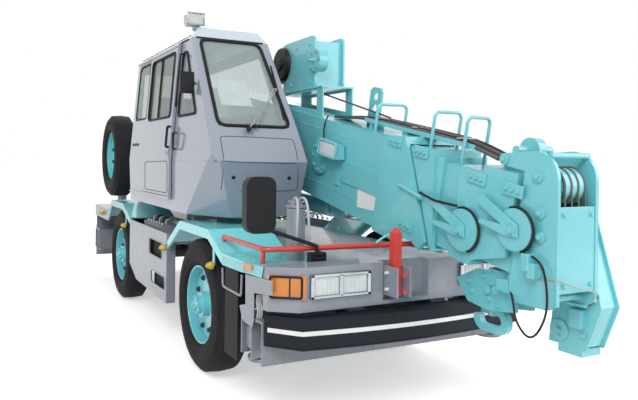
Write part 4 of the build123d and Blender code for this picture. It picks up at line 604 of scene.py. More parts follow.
cab_skin = skin("cab_tub", "cab_upper")
CREASE_PX = [(206, 160.5), (216, 160.8), (222, 161), (240, 162), (260, 162.6), (280, 163), (296, 163.4)]
PANEL_PX = [(220, 136), (240, 136.6), (258, 137.4), (276, 138.4), (293, 139.4), (296, 150), (298, 162),
            (298, 176), (297, 190), (280, 191), (260, 191), (240, 191), (221, 191), (222.5, 176), (224, 161),
            (222, 148)]
HATCH_PX = [(145, 162), (167, 161), (167, 178), (167, 193), (145, 189), (145, 176)]
line("cab_crease", picks(cab_skin, CREASE_PX, 0.001), 0.003, "seam", UPPER)
loop("front_panel_seam", picks(cab_skin, PANEL_PX, 0.0005), 0.003, "seam", UPPER, 0.03)
loop("hatch_seam", picks(skin("cab_door"), HATCH_PX, 0.0), 0.0035, "seam", "door", 0.03)
FASTENERS_PX = [(233.5, 177.5), (289, 178)]
for i, pixel in enumerate(FASTENERS_PX):
    hit = probe(cab_skin, EYE, sight(*pixel))
    if hit:
        bolts(f"panel_fastener_{i}", [hit[0]], hit[1], 0.011, "plastic", UPPER, 0.008)

# The paper inside the windscreen stays blank
SHEET = ((-0.745, 2.05), (-0.475, 2.05), (-0.475, 2.27), (-0.745, 2.27))
flat("window_sheet", [(x, front_y(z, -0.03), z) for x, z in SHEET], 0.001, "paper", UPPER,
     (0, -0.8, 0.6), 0)

GLASS_NORMAL = Vector((0, -0.797, 0.604))
WIPER_PX = {"pivot": (249, 129), "tip": (277, 89), "arm_top": (273, 89), "arm_foot": (256, 126),
            "blade_top": (270.5, 66), "blade_foot": (283.5, 119)}
ARM_OUT, BLADE_OUT = 0.045, 0.028


def on_glass(part, out):
    """Where the line through a pixel of the wiper meets the windscreen plane moved out."""
    ray = sight(*WIPER_PX[part])
    origin = Vector((0, FRONT_FOOT[0], FRONT_FOOT[1])) + GLASS_NORMAL * out
    return EYE + ray * ((origin - EYE).dot(GLASS_NORMAL) / ray.dot(GLASS_NORMAL))


tip = on_glass("tip", ARM_OUT)
line("wiper_arm", [on_glass("pivot", ARM_OUT), tip], 0.006, "steel", UPPER)
line("wiper_arm_2", [on_glass("arm_foot", ARM_OUT), on_glass("arm_top", ARM_OUT), tip], 0.004, "steel",
     UPPER)
line("wiper_blade", [on_glass("blade_top", BLADE_OUT), tip, on_glass("blade_foot", BLADE_OUT)], 0.008,
     "rubber", UPPER)
base = Shape().rod(on_glass("pivot", -0.01), on_glass("pivot", 0.055), 0.02)
base.rod(on_glass("arm_foot", -0.01), on_glass("arm_foot", 0.05), 0.014)
base.put("wiper_pivots", "plastic", UPPER, 0.003)

VENT_Y, VENT_Z = 1.2, 1.757
vent = Shape()
for i in range(3):
    z = VENT_Z - 0.010 + 0.010 * i
    vent.block((side_x(z, -0.001), VENT_Y, z), (0.007, 0.27, 0.005))
vent.block((side_x(VENT_Z, -0.002), VENT_Y, VENT_Z), (0.006, 0.29, 0.034))
vent.put("side_vent", "plastic", UPPER, 0.001)
PULL_Y, PULL_FOOT, PULL_TOP, PULL_OUT = -0.16, 1.72, 1.90, 0.055
grip = [(side_x(z, PULL_OUT), PULL_Y, z) for z in (PULL_FOOT, PULL_TOP)]
handle = Shape().rod(*grip, 0.011)
for at in grip:
    handle.rod((side_x(at[2], 0.02), PULL_Y, at[2]), at, 0.011)
handle.put("door_pull", "plastic", "door", 0.002)
lock = Shape().block((side_x(1.66, 0.034), -0.165, 1.66), (0.012, 0.05, 0.085))
lock.disc((side_x(1.66, 0.046), -0.165, 1.67), 0.014, 0.02, (-1, 0, 0))
lock.put("door_lock", "steel", "door", 0.003)
for i, (rise, inward) in enumerate(((-0.01, 0.0), (0.025, -0.028))):
    x = CAB_SIDE + CAB_LEAN - 0.006 - inward
    line(f"gutter_{i}", [(x, y, GUTTER + rise) for y in (1.3, 0.4, -0.38)], 0.007, "plastic", UPPER)
route = [(x, FRONT_TOP[0] - 0.006, GUTTER) for x in (-0.82, -0.5, -0.2)]
line("front_gutter", route, 0.007, "plastic", UPPER)
MIRROR_BAR_PX = [(180.5, 54), (178, 80), (175.5, 106)]
bar = [on_plane(px, "x", side_x(2.2, 0.022)) for px in MIRROR_BAR_PX]
bar = [bar[0] + Vector((0.03, 0, 0)), *bar, bar[-1] + Vector((0.02, 0, 0))]
line("mirror_bar", bar, 0.009, "plastic", UPPER)
WORK_X, WORK_Z = -0.794, 2.83
Shape().block((WORK_X, -0.3735, WORK_Z), (0.13, 0.006, 0.086)).put("work_lamp_glass", "lens", UPPER, 0.002)
work_rim = Shape()
for dx, dz, sx, sz in ((0, 0.049, 0.156, 0.012), (0, -0.049, 0.156, 0.012), (0.071, 0, 0.014, 0.11),
                       (-0.071, 0, 0.014, 0.11)):
    work_rim.block((WORK_X + dx, -0.374, WORK_Z + dz), (sx, 0.016, sz))
work_rim.put("work_lamp_rim", "chrome", UPPER, 0.003)

# Carrier front: headlamp bezels and lenses, corner lamps, bumper stripe, plates and hoses

LENS_OFFSET, BEZEL_Y, LENS_Y = 0.098, -2.4215, -2.4125
for side, label in SIDES:
    bezel = Shape()
    for dx, dz, sx, sz in ((0, 0.062, 0.415, 0.018), (0, -0.062, 0.415, 0.018), (-0.195, 0, 0.025, 0.142),
                           (0.195, 0, 0.025, 0.142), (0, 0, 0.028, 0.13)):
        bezel.block((side * LAMP_X + dx, BEZEL_Y, LAMP_Z + dz), (sx, 0.009, sz))
    bezel.put("bezel_" + label, "chrome", LOWER, 0.0035)
    for k, dx in enumerate((-LENS_OFFSET, LENS_OFFSET)):
        x = side * LAMP_X + dx
        lens = Shape().block((x, LENS_Y, LAMP_Z), (0.164, 0.004, 0.106))
        for rib in range(5):
            lens.block((x - 0.06 + 0.03 * rib, LENS_Y - 0.0027, LAMP_Z), (0.004, 0.0024, 0.1))
        lens.put(f"lamp_face_{label}_{k}", "lens_face", LOWER, 0.001)

bumper_skin = skin("front_bumper")
AHEAD, BACKWARD = -3.2, (0, 1, 0)
STRIPE_Z, STRIPE_HALF, STRIPE_X, STRIPE_STEPS = 0.628, 0.013, 0.97, 194
starts = [(-STRIPE_X + 2 * STRIPE_X * i / STRIPE_STEPS, AHEAD, STRIPE_Z) for i in range(STRIPE_STEPS + 1)]
stripe_points = met(bumper_skin, starts, BACKWARD, 0.003)
band = bmesh.new()
rows = [[band.verts.new((p.x, p.y, p.z + dz)) for p in stripe_points] for dz in (-STRIPE_HALF, STRIPE_HALF)]
for i in range(len(stripe_points) - 1):
    band.faces.new((rows[0][i], rows[0][i + 1], rows[1][i + 1], rows[1][i]))
stripe = place(mesh_of(band, "bumper_stripe"), "bumper_stripe", "white", LOWER)
stripe.modifiers.new("thick", "SOLIDIFY").thickness = 0.003
LIP_X, LIP_STEPS = 0.975, 40
for z, name in ((0.7105, "bumper_lip_top"), (0.5345, "bumper_lip_foot")):
    starts = [(-LIP_X + 2 * LIP_X * i / LIP_STEPS, AHEAD, z) for i in range(LIP_STEPS + 1)]
    line(name, met(bumper_skin, starts, BACKWARD), 0.005, "bumper", LOWER)

corner_skin = skin("marker_lamps")
CORNER_LAMP = ((0.826, 0.948), (0.978, 0.948), (0.978, 0.827), (0.826, 0.827))
for side, label in SIDES:
    starts = [(side * x, AHEAD, z) for x, z in CORNER_LAMP]
    rim = met(corner_skin, starts, BACKWARD, 0.002)
    if len(rim) == len(starts):
        loop("corner_lamp_rim_" + label, rim, 0.007, "plastic", LOWER, 0.012)
        mid = [(rim[0] * 0.62 + rim[1] * 0.38), (rim[3] * 0.62 + rim[2] * 0.38)]
        line("corner_lamp_bar_" + label, mid, 0.004, "plastic", LOWER)

SIDE_X, HOSE_IN, HOSE_STEP = -0.989, 0.02, 0.012
EDGE_BAND_PX = [(222.5, 256), (244, 264), (244, 273), (222.5, 265)]
MARKER_PX = [(244.5, 262.5), (253, 264.5), (253, 271), (244.5, 269)]
MARKER_BASE_PX = [(243, 261), (264, 267), (262, 278), (243, 272)]
STEP_PX = [(222.5, 266), (223, 286), (241, 296), (242, 273)]
PLATE_PX = [(246, 274), (273, 281), (273, 296), (254.5, 293), (254.5, 320), (252.5, 328), (243, 320),
            (240, 305), (246, 304)]
HOSE_PX = [(258, 294), (256, 303), (259, 311), (256.5, 322)]
HOSE_STEP_PX = 2.0


def on_side(pixels, flip, inward=0.0, shift=0.0):
    """Places on the right-hand side plane, or on the left one where flip is -1."""
    found = [on_plane((u + shift, v), "x", SIDE_X + inward) for u, v in pixels]
    return [Vector((p.x * flip, p.y, p.z)) for p in found]


for flip, label in ((1, "right"), (-1, "left")):
    out = (-flip, 0, 0)
    flat("fender_band_" + label, on_side(EDGE_BAND_PX, flip), 0.004, "teal", LOWER, out)
    flat("side_marker_" + label, on_side(MARKER_PX, flip, -0.004), 0.012, "amber", LOWER, out, 0.003)
    flat("marker_plate_" + label, on_side(MARKER_BASE_PX, flip), 0.005, "teal", LOWER, out)
    line("step_frame_" + label, rounded(on_side(STEP_PX, flip), 0.02)[3:-3], 0.008, "grey", LOWER)
    flat("corner_plate_" + label, on_side(PLATE_PX, flip), 0.005, "grey", LOWER, out)
    for k in range(3):
        route = on_side(HOSE_PX, flip, HOSE_IN + HOSE_STEP * k, HOSE_STEP_PX * k)
        curve(f"corner_hose_{label}_{k}", route, 0.007, "pale_hose", LOWER)

# Marker bulbs on the fender brackets, side panels and rear deck

BULBS = ((0.983, 1.41, 0.870), (0.992, -0.19, 0.834), (0.983, -1.38, 0.865), (0.982, 2.71, 0.900))
bulbs = Shape()
for side, _ in SIDES:
    for x, y, z in BULBS:
        bulbs.disc((side * (x + 0.012), y, z), 0.029, 0.022, (side, 0, 0), 0.027)
        bulbs.disc((side * (x + 0.034), y, z), 0.026, 0.024, (side, 0, 0), 0.017)
        bulbs.disc((side * (x + 0.05), y, z), 0.017, 0.010, (side, 0, 0), 0.006)
bulbs.put("marker_bulbs", "yellow", LOWER, 0.002)

# Rear deck, counterweight and rear panel

LOUVRE_X, LOUVRE_Y, LOUVRE_Z, SLAT_STEP = 0.45, 2.92, 0.973, 0.036
SLAT_TURN = Matrix.Rotation(radians(25), 4, "X")
for k, x in enumerate((-LOUVRE_X, LOUVRE_X)):
    louvre = Shape().block((x, LOUVRE_Y, LOUVRE_Z), (0.62, 0.46, 0.010))
    for i in range(11):
        at = (x, LOUVRE_Y - 0.18 + SLAT_STEP * i, LOUVRE_Z + 0.011)
        louvre.block(at, (0.54, 0.020, 0.010), SLAT_TURN)
    louvre.put(f"deck_louvre_{k}", "grey", LOWER, 0.002)
    spots = [(x + a * 0.285, LOUVRE_Y + b * 0.205, LOUVRE_Z + 0.006) for a in (-1, 1) for b in (-1, 1)]
    bolts(f"louvre_bolts_{k}", spots, (0, 0, 1), 0.010, "steel", LOWER, 0.008)
low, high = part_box("counterweight")
starts = [(low[0] + (high[0] - low[0]) * a, high[1] + 0.5, low[2] + (high[2] - low[2]) * b)
          for a in (0.2, 0.5, 0.8) for b in (0.3, 0.75)]
spots = met(skin("counterweight"), starts, (0, -1, 0))
bolts("counterweight_bolts", spots, (0, 1, 0), 0.02, "iron", UPPER, 0.02)
PANEL_Y, HITCH_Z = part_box("rear_panel")[1][1], 0.46
spots = [(x, PANEL_Y, z) for x in (-0.85, -0.42, 0.0, 0.42, 0.85) for z in (0.32, 0.64)]
bolts("rear_panel_bolts", spots, (0, 1, 0), 0.014, "steel", LOWER, 0.012)
hitch = Shape().block((0, PANEL_Y + 0.008, HITCH_Z), (0.22, 0.016, 0.20))
hitch.disc((0, PANEL_Y + 0.02, HITCH_Z), 0.05, 0.02, (0, 1, 0))
hitch.put("rear_hitch_plate", "iron", LOWER, 0.003)

# Post, guard and jacks at the front

for z in (0.84, 0.94):
    bolts(f"post_pin_{int(z * 100)}", [(POST_X, -2.538, z)], (0, -1, 0), 0.011, "red", LOWER, 0.012)
JACK_X, FRONT_JACK_TOP, REAR_JACK_TOP = 0.645, 1.31, 1.115
JACK_Y = {"front_right": -1.993, "front_left": -2.147, "rear_left": 3.013, "rear_right": 3.167}
for label, y in JACK_Y.items():
    x = JACK_X if "left" in label else -JACK_X
    top = FRONT_JACK_TOP if "front" in label else REAR_JACK_TOP
    flange = Shape().disc((x, y, top + 0.012), 0.066, 0.018).disc((x, y, top + 0.042), 0.03, 0.024)
    flange.put("jack_flange_" + label, "grey", LOWER, 0.003)
    spots = [(x + 0.05 * cos(pi * k / 3), y + 0.05 * sin(pi * k / 3), top + 0.04) for k in range(6)]
    bolts("jack_bolts_" + label, spots, (0, 0, 1), 0.007, "steel", LOWER)
    if top == FRONT_JACK_TOP:
        for k, shift in enumerate((-0.022, 0.022)):
            route = [(x + shift, y, top + 0.04), (x + shift, y - 0.02, top + 0.075),
                     (x + shift * 1.5, y - 0.09, top + 0.055), (x + shift * 2, y - 0.1, top - 0.12),
                     (x + shift * 2, y - 0.09, 1.05)]
            curve(f"jack_hose_{label}_{k}", route, 0.009, "pale_hose", LOWER)
Shape().block((-0.93, -2.002, 1.34), (0.17, 0.006, 0.31)).put("mirror_glass", "chrome", LOWER, 0.003)
socket = Shape().block((-0.6, -2.19, 1.013), (0.074, 0.074, 0.02))
socket.block((-0.6, -2.19, 1.04), (0.068, 0.068, 0.012))
socket.put("mirror_socket_rings", "plastic", LOWER, 0.003)
GUARD_PX = [(376, 243), (384, 236), (396, 233), (408, 235)]
curve("deck_guard", [on_plane(px, "y", -2.2) for px in GUARD_PX], 0.008, "teal_light", LOWER)

# Boom: points by distance from the foot pin and height over the axis

SLOPE, PIVOT_Y, PIVOT_Z = radians(11.0), 1.82, 2.20
BASE_SIDE = 0.0495


def boom(s, v, x):
    return Vector((x, PIVOT_Y - s * cos(SLOPE) - v * sin(SLOPE), PIVOT_Z - s * sin(SLOPE) + v * cos(SLOPE)))


def boom_circle(s, v, radius, x, degrees):
    """Points on a circle about a boom place, at angles in degrees."""
    return [boom(s + radius * cos(radians(a)), v + radius * sin(radians(a)), x) for a in degrees]


def boom_box(s0, s1, v0, v1, x):
    """The corners of a rectangle along the boom."""
    return [boom(s, v, x) for s, v in ((s0, v0), (s1, v0), (s1, v1), (s0, v1))]


BOOM_BODIES = {"boom_base": "boom", "boom_section_2": "boom_section_2_body",
               "boom_section_3": "boom_section_3_body", "boom_head": HEAD}
boom_skins = {name: skin(name) for name in BOOM_BODIES}


def boom_pick(pixel):
    """Nearest boom surface under a pixel: point, normal, body."""
    best = None
    for name, tree in boom_skins.items():
        hit = probe(tree, EYE, sight(*pixel))
        if hit and (best is None or (hit[0] - EYE).length < (best[0] - EYE).length):
            best = (hit[0], hit[1], BOOM_BODIES[name])
    return best


along = Vector((0, -cos(SLOPE), -sin(SLOPE)))
above = Vector((0, -sin(SLOPE), cos(SLOPE)))
PADS_PX = [(396, 141), (422, 152), (406, 225), (434, 225), (449, 160), (478, 178), (514, 190)]
PAD_HALF, PAD_HALF_HEIGHT, PAD_THICK = 0.07, 0.035, 0.014
for i, pixel in enumerate(PADS_PX):
    hit = boom_pick(pixel)
    if not hit or abs(hit[1].x) < 0.5:
        continue
    near, _, body = hit
    far = Vector((2 * BOOM_X - near.x, near.y, near.z))
    for at, face, label in ((near, -1, "right"), (far, 1, "left")):
        corners = [at + along * a * PAD_HALF + above * b * PAD_HALF_HEIGHT for a, b in SQUARE]
        flat(f"pad_{label}_{i}", corners, PAD_THICK, "teal", body, (face, 0, 0), 0.003)
        spots = [at + along * a + Vector((PAD_THICK * face, 0, 0)) for a in (-0.042, 0.0, 0.042)]
        bolts(f"pad_bolts_{label}_{i}", spots, (face, 0, 0), 0.011, "teal", body, 0.013)
SHEET_PX = [(358, 183), (387, 189), (386, 214), (357, 207)]
sheet = [on_plane(px, "x", BASE_SIDE) for px in SHEET_PX]
flat("blank_plate", sheet, 0.002, "paper", "boom", (-1, 0, 0), 0.001)
for i, v in enumerate((-0.2, 0.24)):
    for x in (BASE_SIDE, 2 * BOOM_X - BASE_SIDE):
        line(f"boom_weld_{i}_{x:.2f}", [boom(1.7, v, x), boom(3.5, v, x)], 0.003, "teal", "boom")
spots = boom_circle(2.988, 0.017, 0.105, 0.024, range(0, 360, 45))
bolts("boss_bolts", spots, (-1, 0, 0), 0.012, "teal", "boom", 0.012)
side_lamp = boom_box(3.10, 3.32, 0.075, 0.172, -0.0425)
flat("side_lamp_glass", side_lamp, 0.004, "lens_face", "boom", (-1, 0, 0))
loop("side_lamp_rim", boom_box(3.075, 3.345, 0.065, 0.182, -0.045), 0.008, "teal", "boom", 0.02)
route = [boom(*at) for at in ((3.1, 0.16, 0.0), (3.02, 0.2, 0.02), (2.98, 0.3, 0.045), (3.0, 0.36, 0.06))]
curve("side_lamp_cable", route, 0.006, "hose", "boom")
HOSES_X = [0.19 + 0.024 * k for k in range(6)]
for k, x in enumerate(HOSES_X):
    lift = 0.395 + 0.010 * (k % 2)
    route = [boom(s, v, x) for s, v in ((2.9, 0.345), (3.05, 0.36), (3.35, lift), (3.9, lift + 0.005),
                                        (4.2, lift + 0.005), (4.5, lift), (4.74, 0.352))]
    curve(f"boom_hose_{k}", route, 0.012, "hose" if k % 3 else "rope", "boom")
BOOM_TURN = Matrix.Rotation(SLOPE, 4, "X")
TRAY_S, TRAY_LENGTH = 3.95, 1.20
tray = Shape().block(boom(TRAY_S, 0.372, BOOM_X), (0.14, TRAY_LENGTH, 0.006), BOOM_TURN)
for side in (-1, 1):
    tray.block(boom(TRAY_S, 0.384, BOOM_X + side * 0.071), (0.004, TRAY_LENGTH, 0.03), BOOM_TURN)
for s in (3.42, 3.86):
    tray.block(boom(s, 0.35, BOOM_X), (0.12, 0.03, 0.04), BOOM_TURN)
tray.put("hose_tray", "teal", "boom", 0.001)
clamps = Shape()
for s in (3.5, TRAY_S, 4.4):
    clamps.block(boom(s, 0.414, BOOM_X), (0.15, 0.03, 0.008), BOOM_TURN)
clamps.put("hose_clamps", "steel", "boom", 0.002)
stand = Shape().block(boom(4.81, 0.31, BOOM_X), (0.16, 0.012, 0.16), BOOM_TURN)
for x in HOSES_X:
    stand.rod(boom(4.775, 0.345, x), boom(4.82, 0.345, x), 0.010)
stand.put("hose_bulkhead", "teal", HEAD, 0.001)

ROPE_R = 0.008
TUBE_ROPE = ((4.30, 0.047, 0.02), (4.40, 0.03, 0.02), (4.52, 0.035, 0.03), (4.62, 0.045, 0.04))
curve("retract_rope_1", [boom(*at) for at in TUBE_ROPE], ROPE_R, "hose", "boom_section_2_body")

# The two rope discs: place along the boom and above its axis, radius and X of the rope, X of the hub, body
DISCS = ((4.674, -0.087, 0.131, 0.062, 0.048, "boom_section_3_body"),
         (5.052, 0.029, 0.121, 0.066, 0.052, HEAD))
BRACKET = ((-0.28, 0.11), (-0.24, 0.13), (0.03, 0.035), (0.045, -0.03), (-0.03, -0.045), (-0.24, -0.03),
           (-0.24, -0.005), (-0.08, 0.01), (-0.28, 0.08))
ROPE_TURN = range(120, -61, -12)
for i, (s, v, radius, x, _, body) in enumerate(DISCS, 1):
    curve(f"disc_rope_{i}", boom_circle(s, v, radius, x, ROPE_TURN), ROPE_R, "hose", body)
for i, (s, v, _, _, x, body) in enumerate(DISCS, 1):
    bracket = [boom(s + a, v + b, x - 0.004) for a, b in BRACKET]
    flat(f"disc_hub_{i}_bracket", bracket, 0.012, "teal", body, (-1, 0, 0))
    x -= 0.016
    bolts(f"disc_hub_{i}_nut", [boom(s, v, x)], (-1, 0, 0), 0.022, "teal", body, 0.022)
    spots = [boom(s - 0.02, v + 0.025, x), boom(s + 0.02, v - 0.02, x)]
    bolts(f"disc_hub_{i}_bolts", spots, (-1, 0, 0), 0.008, "teal", body)

# Winch: wound rope, its lead along the boom, and small bolts

ROPE_TURNS, ROPE_PITCH = 9, 0.025
for k in range(ROPE_TURNS):
    x = BOOM_X - 0.1 + ROPE_PITCH * k
    circle(f"drum_rope_{k}", (x, *DRUM), 0.124, 0.0125, "rope", "boom")
route = [(BOOM_X, DRUM[0] - 0.09, 2.60), (BOOM_X, -0.8, 2.2), boom(3.3, 0.45, BOOM_X),
         boom(3.58, 0.43, BOOM_X)]
line("winch_lead", route, 0.007, "rope", "boom")
drum_end = Shape().disc((BOOM_X - 0.176, *DRUM), 0.165, 0.03, (-1, 0, 0), 0.15, sides=48)
drum_end.disc((BOOM_X - 0.196, *DRUM), 0.06, 0.016, (-1, 0, 0), 0.05)
drum_end.put("drum_end", "plastic", "boom", 0.006)
spots = [(0.1, y, z) for y, z in ((-0.45, 2.30), (-0.8, 2.30), (-0.8, 2.62), (-0.55, 2.62))]
bolts("winch_bolts", spots, (-1, 0, 0), 0.011, "teal", "boom", 0.012)
bolts("motor_bolts", ring((0.07, -0.93, 2.467), 0.075, 6), (-1, 0, 0), 0.009, "steel", "boom", 0.01)

# Boom head, jib and hook block

HEAD_SIDE, HEAD_FRONT, SHEAVE = 0.086, -3.375, (-3.267, 1.50)
spots = [(HEAD_SIDE, y, z) for y, z in ((SHEAVE[0], 1.55), (-3.289, 1.365), (-3.289, 1.242),
                                        (SHEAVE[0], 1.05), (-3.04, 1.642))]
bolts("head_nuts", spots, (-1, 0, 0), 0.017, "teal", HEAD, 0.016)
for k in range(4):
    x = 0.17 + 0.05 * k
    circle(f"head_rope_{k}", (x, *SHEAVE), 0.1, 0.007, "rope", HEAD)
    line(f"head_fall_{k}", [(x, SHEAVE[0] - 0.1, SHEAVE[1]), (x, -3.372, 1.05)], 0.006, "rope", HEAD)
guard = [(x, HEAD_FRONT, z) for x, z in ((0.12, 1.40), (0.38, 1.40), (0.38, 0.96), (0.12, 0.96))]
flat("head_guard", guard, 0.006, "teal", HEAD, (0, -1, 0))
cross = Shape()
for y, z, radius in ((-3.33, 1.66, 0.016), (-3.34, 1.30, 0.016), (-3.30, 0.92, 0.02)):
    cross.rod((0.11, y, z), (0.39, y, z), radius)
cross.put("head_cross_pins", "teal", HEAD, 0.002)

# The hanging cable, from the last point of the head disc's rope to the latch on the hook block
CABLE_PX = [(540, 257), (547, 285), (547, 318), (531, 343), (515, 322), (513, 297)]
CABLE_END_PX, CABLE_X, LATCH_X = (508, 284), 0.07, 0.14
s, v, radius, x, _, _ = DISCS[1]
cable_start = boom_circle(s, v, radius, x, [-60])[0]
route = [cable_start] + [on_plane(px, "x", CABLE_X) for px in CABLE_PX]
route.append(on_plane(CABLE_END_PX, "x", LATCH_X))
head_cable = curve("head_cable", route, 0.006, "hose", HEAD)
route = [(0.094, -3.28, 1.02), (0.085, -3.36, 1.04), (0.12, -3.405, 1.03), (0.27, -3.41, 0.98),
         (0.39, -3.405, 0.95), (0.42, -3.38, 0.90), (0.414, -3.33, 0.86)]
curve("thin_cable", route, 0.004, "pale_hose", HEAD)
spots = [(x, HEAD_FRONT - 0.006, z) for x in (0.15, 0.35) for z in (1.0, 1.36)]
bolts("guard_bolts", spots, (0, -1, 0), 0.011, "teal", HEAD, 0.012)
switch = Shape()
SWITCH_PX = [((528, 262), (0.06, 0.05, 0.09)), ((533, 271), (0.05, 0.05, 0.08))]
for px, size in SWITCH_PX:
    switch.block(on_plane(px, "x", CABLE_X), size)
switch.put("limit_switch", "teal", HEAD, 0.005)
HOOK_X, HOOK_PIN_PX = 0.1695, (496.7, 290.2)
HOOK_BOLTS_PX = [(491.5, 270), (484, 275.5), (469.6, 280.5), (472.7, 290), (493, 283.3), (489.5, 298.5),
                 (499, 305)]
spots = [on_plane(px, "x", HOOK_X) for px in HOOK_BOLTS_PX]
bolts("hook_block_bolts", spots, (-1, 0, 0), 0.013, "teal", HEAD, 0.016)
bolts("hook_block_pin", [on_plane(HOOK_PIN_PX, "x", HOOK_X)], (-1, 0, 0), 0.026, "teal", HEAD, 0.02)
LATCH_PX, LEVER_PX = (505, 285), ((508, 280), (514, 268))
latch = Shape().block(on_plane(LATCH_PX, "x", LATCH_X), (0.05, 0.09, 0.07))
latch.rod(*(on_plane(px, "x", LATCH_X) for px in LEVER_PX), 0.008)
latch.put("hook_latch_box", "teal", HEAD, 0.004)
spots = [(0.412, y, z) for y, z in ((-3.19, 1.2), (-3.22, 0.95), (-3.30, 0.70), (-3.15, 0.66))]
bolts("jib_bolts", spots, (-1, 0, 0), 0.013, "teal", HEAD, 0.014)
jib_clamp = Shape().block((0.40, -3.27, 0.79), (0.05, 0.08, 0.1))
jib_clamp.rod((0.38, -3.22, 0.87), (0.38, -3.34, 0.87), 0.012)
jib_clamp.put("jib_clamp", "teal", HEAD, 0.004)

# Deck and side: valves, hoses and near-black backs of painted shade behind the side panel windows

# The two windows of a side panel: middle along Y and Z, half sizes of the opening, size of its near-black
# back of painted shade
WINDOWS = ((0.135, 0.787, 0.22, 0.076, (0.004, 0.5, 0.2)), (0.045, 0.512, 0.23, 0.058, (0.004, 0.52, 0.16)))
VALVE_HOSE = ((0.86, 0, 0.985), (0.86, 0, 1.03), (0.8, 0.03, 1.05), (0.7, 0.05, 1.0), (0.55, 0.06, 0.975))
for side, label in SIDES:
    # Painted shade: near-black blocks behind the openings, where the inside of the carrier lies in shade
    backs = Shape()
    for y, z, _, _, size in WINDOWS:
        backs.block((side * 0.95, y, z), size)
    backs.put("panel_backs_" + label, "black", LOWER, 0.001)
    for i, (y, z, half_y, half_z, _) in enumerate(WINDOWS):
        lip = [(side * 0.991, y + a * half_y, z + b * half_z) for a, b in SQUARE]
        loop(f"window_lip_{label}_{i}", lip, 0.005, "grey", LOWER, 0.04)
    for k in range(5):
        route = [(side * x, 0.25 + 0.11 * k + dy, z) for x, dy, z in VALVE_HOSE]
        curve(f"valve_hose_{label}_{k}", route, 0.009, "hose" if k % 2 else "pale_hose", LOWER)
    spots = [(side * 0.9, 0.22 + 0.1 * k, 0.986) for k in range(6)]
    bolts("valve_caps_" + label, spots, (0, 0, 1), 0.014, "steel", LOWER, 0.02)

# Spare wheel: teal rim with nuts on the outer face

SPARE_Y, SPARE_Z, SPARE_OUTSIDE, SPARE_RIM, INWARD = 2.43, 1.64, -1.4, 0.298, (1, 0, 0)
spare_skin = skin("spare_wheel")
region("spare_wheel", "teal", lambda c: (c.y - SPARE_Y) ** 2 + (c.z - SPARE_Z) ** 2 < SPARE_RIM ** 2)
spots = met(spare_skin, ring((SPARE_OUTSIDE, SPARE_Y, SPARE_Z), NUT_RING, 8, 0.5), INWARD)
bolts("spare_nuts", spots, (-1, 0, 0), 0.017, "iron", UPPER, 0.02)
for i, radius in enumerate(RIBS + FINE_RIBS[:1]):
    for at in met(spare_skin, [(SPARE_OUTSIDE, SPARE_Y + radius, SPARE_Z)], INWARD):
        circle(f"spare_rib_{i}", (at.x, SPARE_Y, SPARE_Z), radius, 0.003, "rubber", UPPER)

# Seat cushions: crowned pads over the CAD seat

def cushion(name, at, size, tilt, crown):
    """A padded block: its sides pulled in at the corners and its faces crowned."""
    bm = bmesh.new()
    bmesh.ops.create_cube(bm, size=1.0)
    bmesh.ops.subdivide_edges(bm, edges=bm.edges[:], cuts=9, use_grid_fill=True)
    for vert in bm.verts:
        x, y, z = (2 * c for c in vert.co)
        swell = crown * (1 - x * x) * (1 - y * y)
        pinch = 1 - 0.07 * (x * x * y * y)
        vert.co = Vector((x * size[0] / 2 * pinch, y * size[1] / 2 * pinch, z * (size[2] / 2 + swell)))
    turn = Matrix.Rotation(radians(tilt), 4, "X")
    bmesh.ops.transform(bm, matrix=Matrix.Translation(at) @ turn, verts=bm.verts)
    mesh = mesh_of(bm, name)
    smooth(mesh, 70)
    pad = place(mesh, name, "seat", UPPER, 0.02, 3)
    return pad


cushion("seat_cushion", (-0.54, 0.50, 1.60), (0.52, 0.54, 0.12), 0, 0.02)
cushion("seat_back", (-0.54, 0.735, 1.92), (0.48, 0.11, 0.64), -8, 0.0)


# Floor and light

WHITE, FLOOR_GREY, FLOOR_SIZE, FLOOR_Z, SKY_LEVEL = (1.0, 1.0, 1.0, 1.0), 0.86, 240, -0.001, 0.55


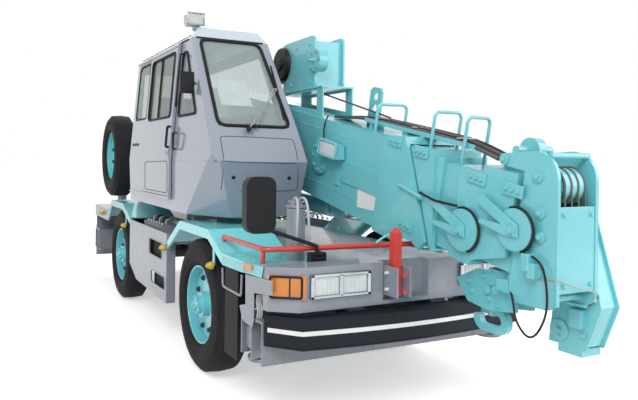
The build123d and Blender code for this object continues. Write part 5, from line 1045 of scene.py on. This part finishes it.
def seen_white(tree, strength_input, plain_strength, seen_strength=1.0):
    """Strength 1 to the camera, gloss and glass, and the plain level as light on the object."""
    path = tree.nodes.new("ShaderNodeLightPath")
    total = path.outputs["Is Camera Ray"]
    for ray in ("Is Glossy Ray", "Is Transmission Ray"):
        either = tree.nodes.new("ShaderNodeMath")
        either.operation = "MAXIMUM"
        tree.links.new(total, either.inputs[0])
        tree.links.new(path.outputs[ray], either.inputs[1])
        total = either.outputs[0]
    level = tree.nodes.new("ShaderNodeMapRange")
    level.inputs["To Min"].default_value = plain_strength
    level.inputs["To Max"].default_value = seen_strength
    tree.links.new(total, level.inputs["Value"])
    tree.links.new(level.outputs[0], strength_input)


def stage_material(name, colour):
    """Pale ground: white to the camera, gloss and glass, but still catching the shadow."""
    s = Shader(name, Roughness=0.9, Emission_Color=WHITE)
    patches = s.node("ShaderNodeTexNoise", Scale=3.0).outputs["Fac"]
    s.to("Base Color", s.mix(patches, colour, scaled(colour, 0.98)))
    seen_white(s.tree, s.bsdf.inputs["Emission Strength"], 0.0, 0.5)
    return s.mat


bpy.ops.mesh.primitive_plane_add(size=FLOOR_SIZE, location=(0, 0, FLOOR_Z))
floor = bpy.context.object
floor.name = "floor"
floor.data.materials.append(stage_material("floor_pale", (FLOOR_GREY, FLOOR_GREY, FLOOR_GREY, 1)))

world = bpy.data.worlds.new("studio")
bpy.context.scene.world = world
world.use_nodes = True
background = world.node_tree.nodes["Background"]
background.inputs["Color"].default_value = WHITE
seen_white(world.node_tree, background.inputs["Strength"], SKY_LEVEL)

for name, at, aim, size, energy in (
    ("key", (-7.0, -9.0, 9.0), (0, -0.5, 1.2), 6.0, 900.0),
    ("fill", (7.0, -8.0, 5.0), (0, -1.0, 1.2), 7.0, 420.0),
    ("back", (2.0, 9.0, 8.0), (0, 1.0, 1.5), 7.0, 380.0),
):
    lamp = bpy.data.lights.new(name, "AREA")
    lamp.energy, lamp.size = energy, size
    obj = linked(name, lamp)
    obj.location = at
    obj.rotation_euler = (Vector(aim) - Vector(at)).to_track_quat("-Z", "Y").to_euler()
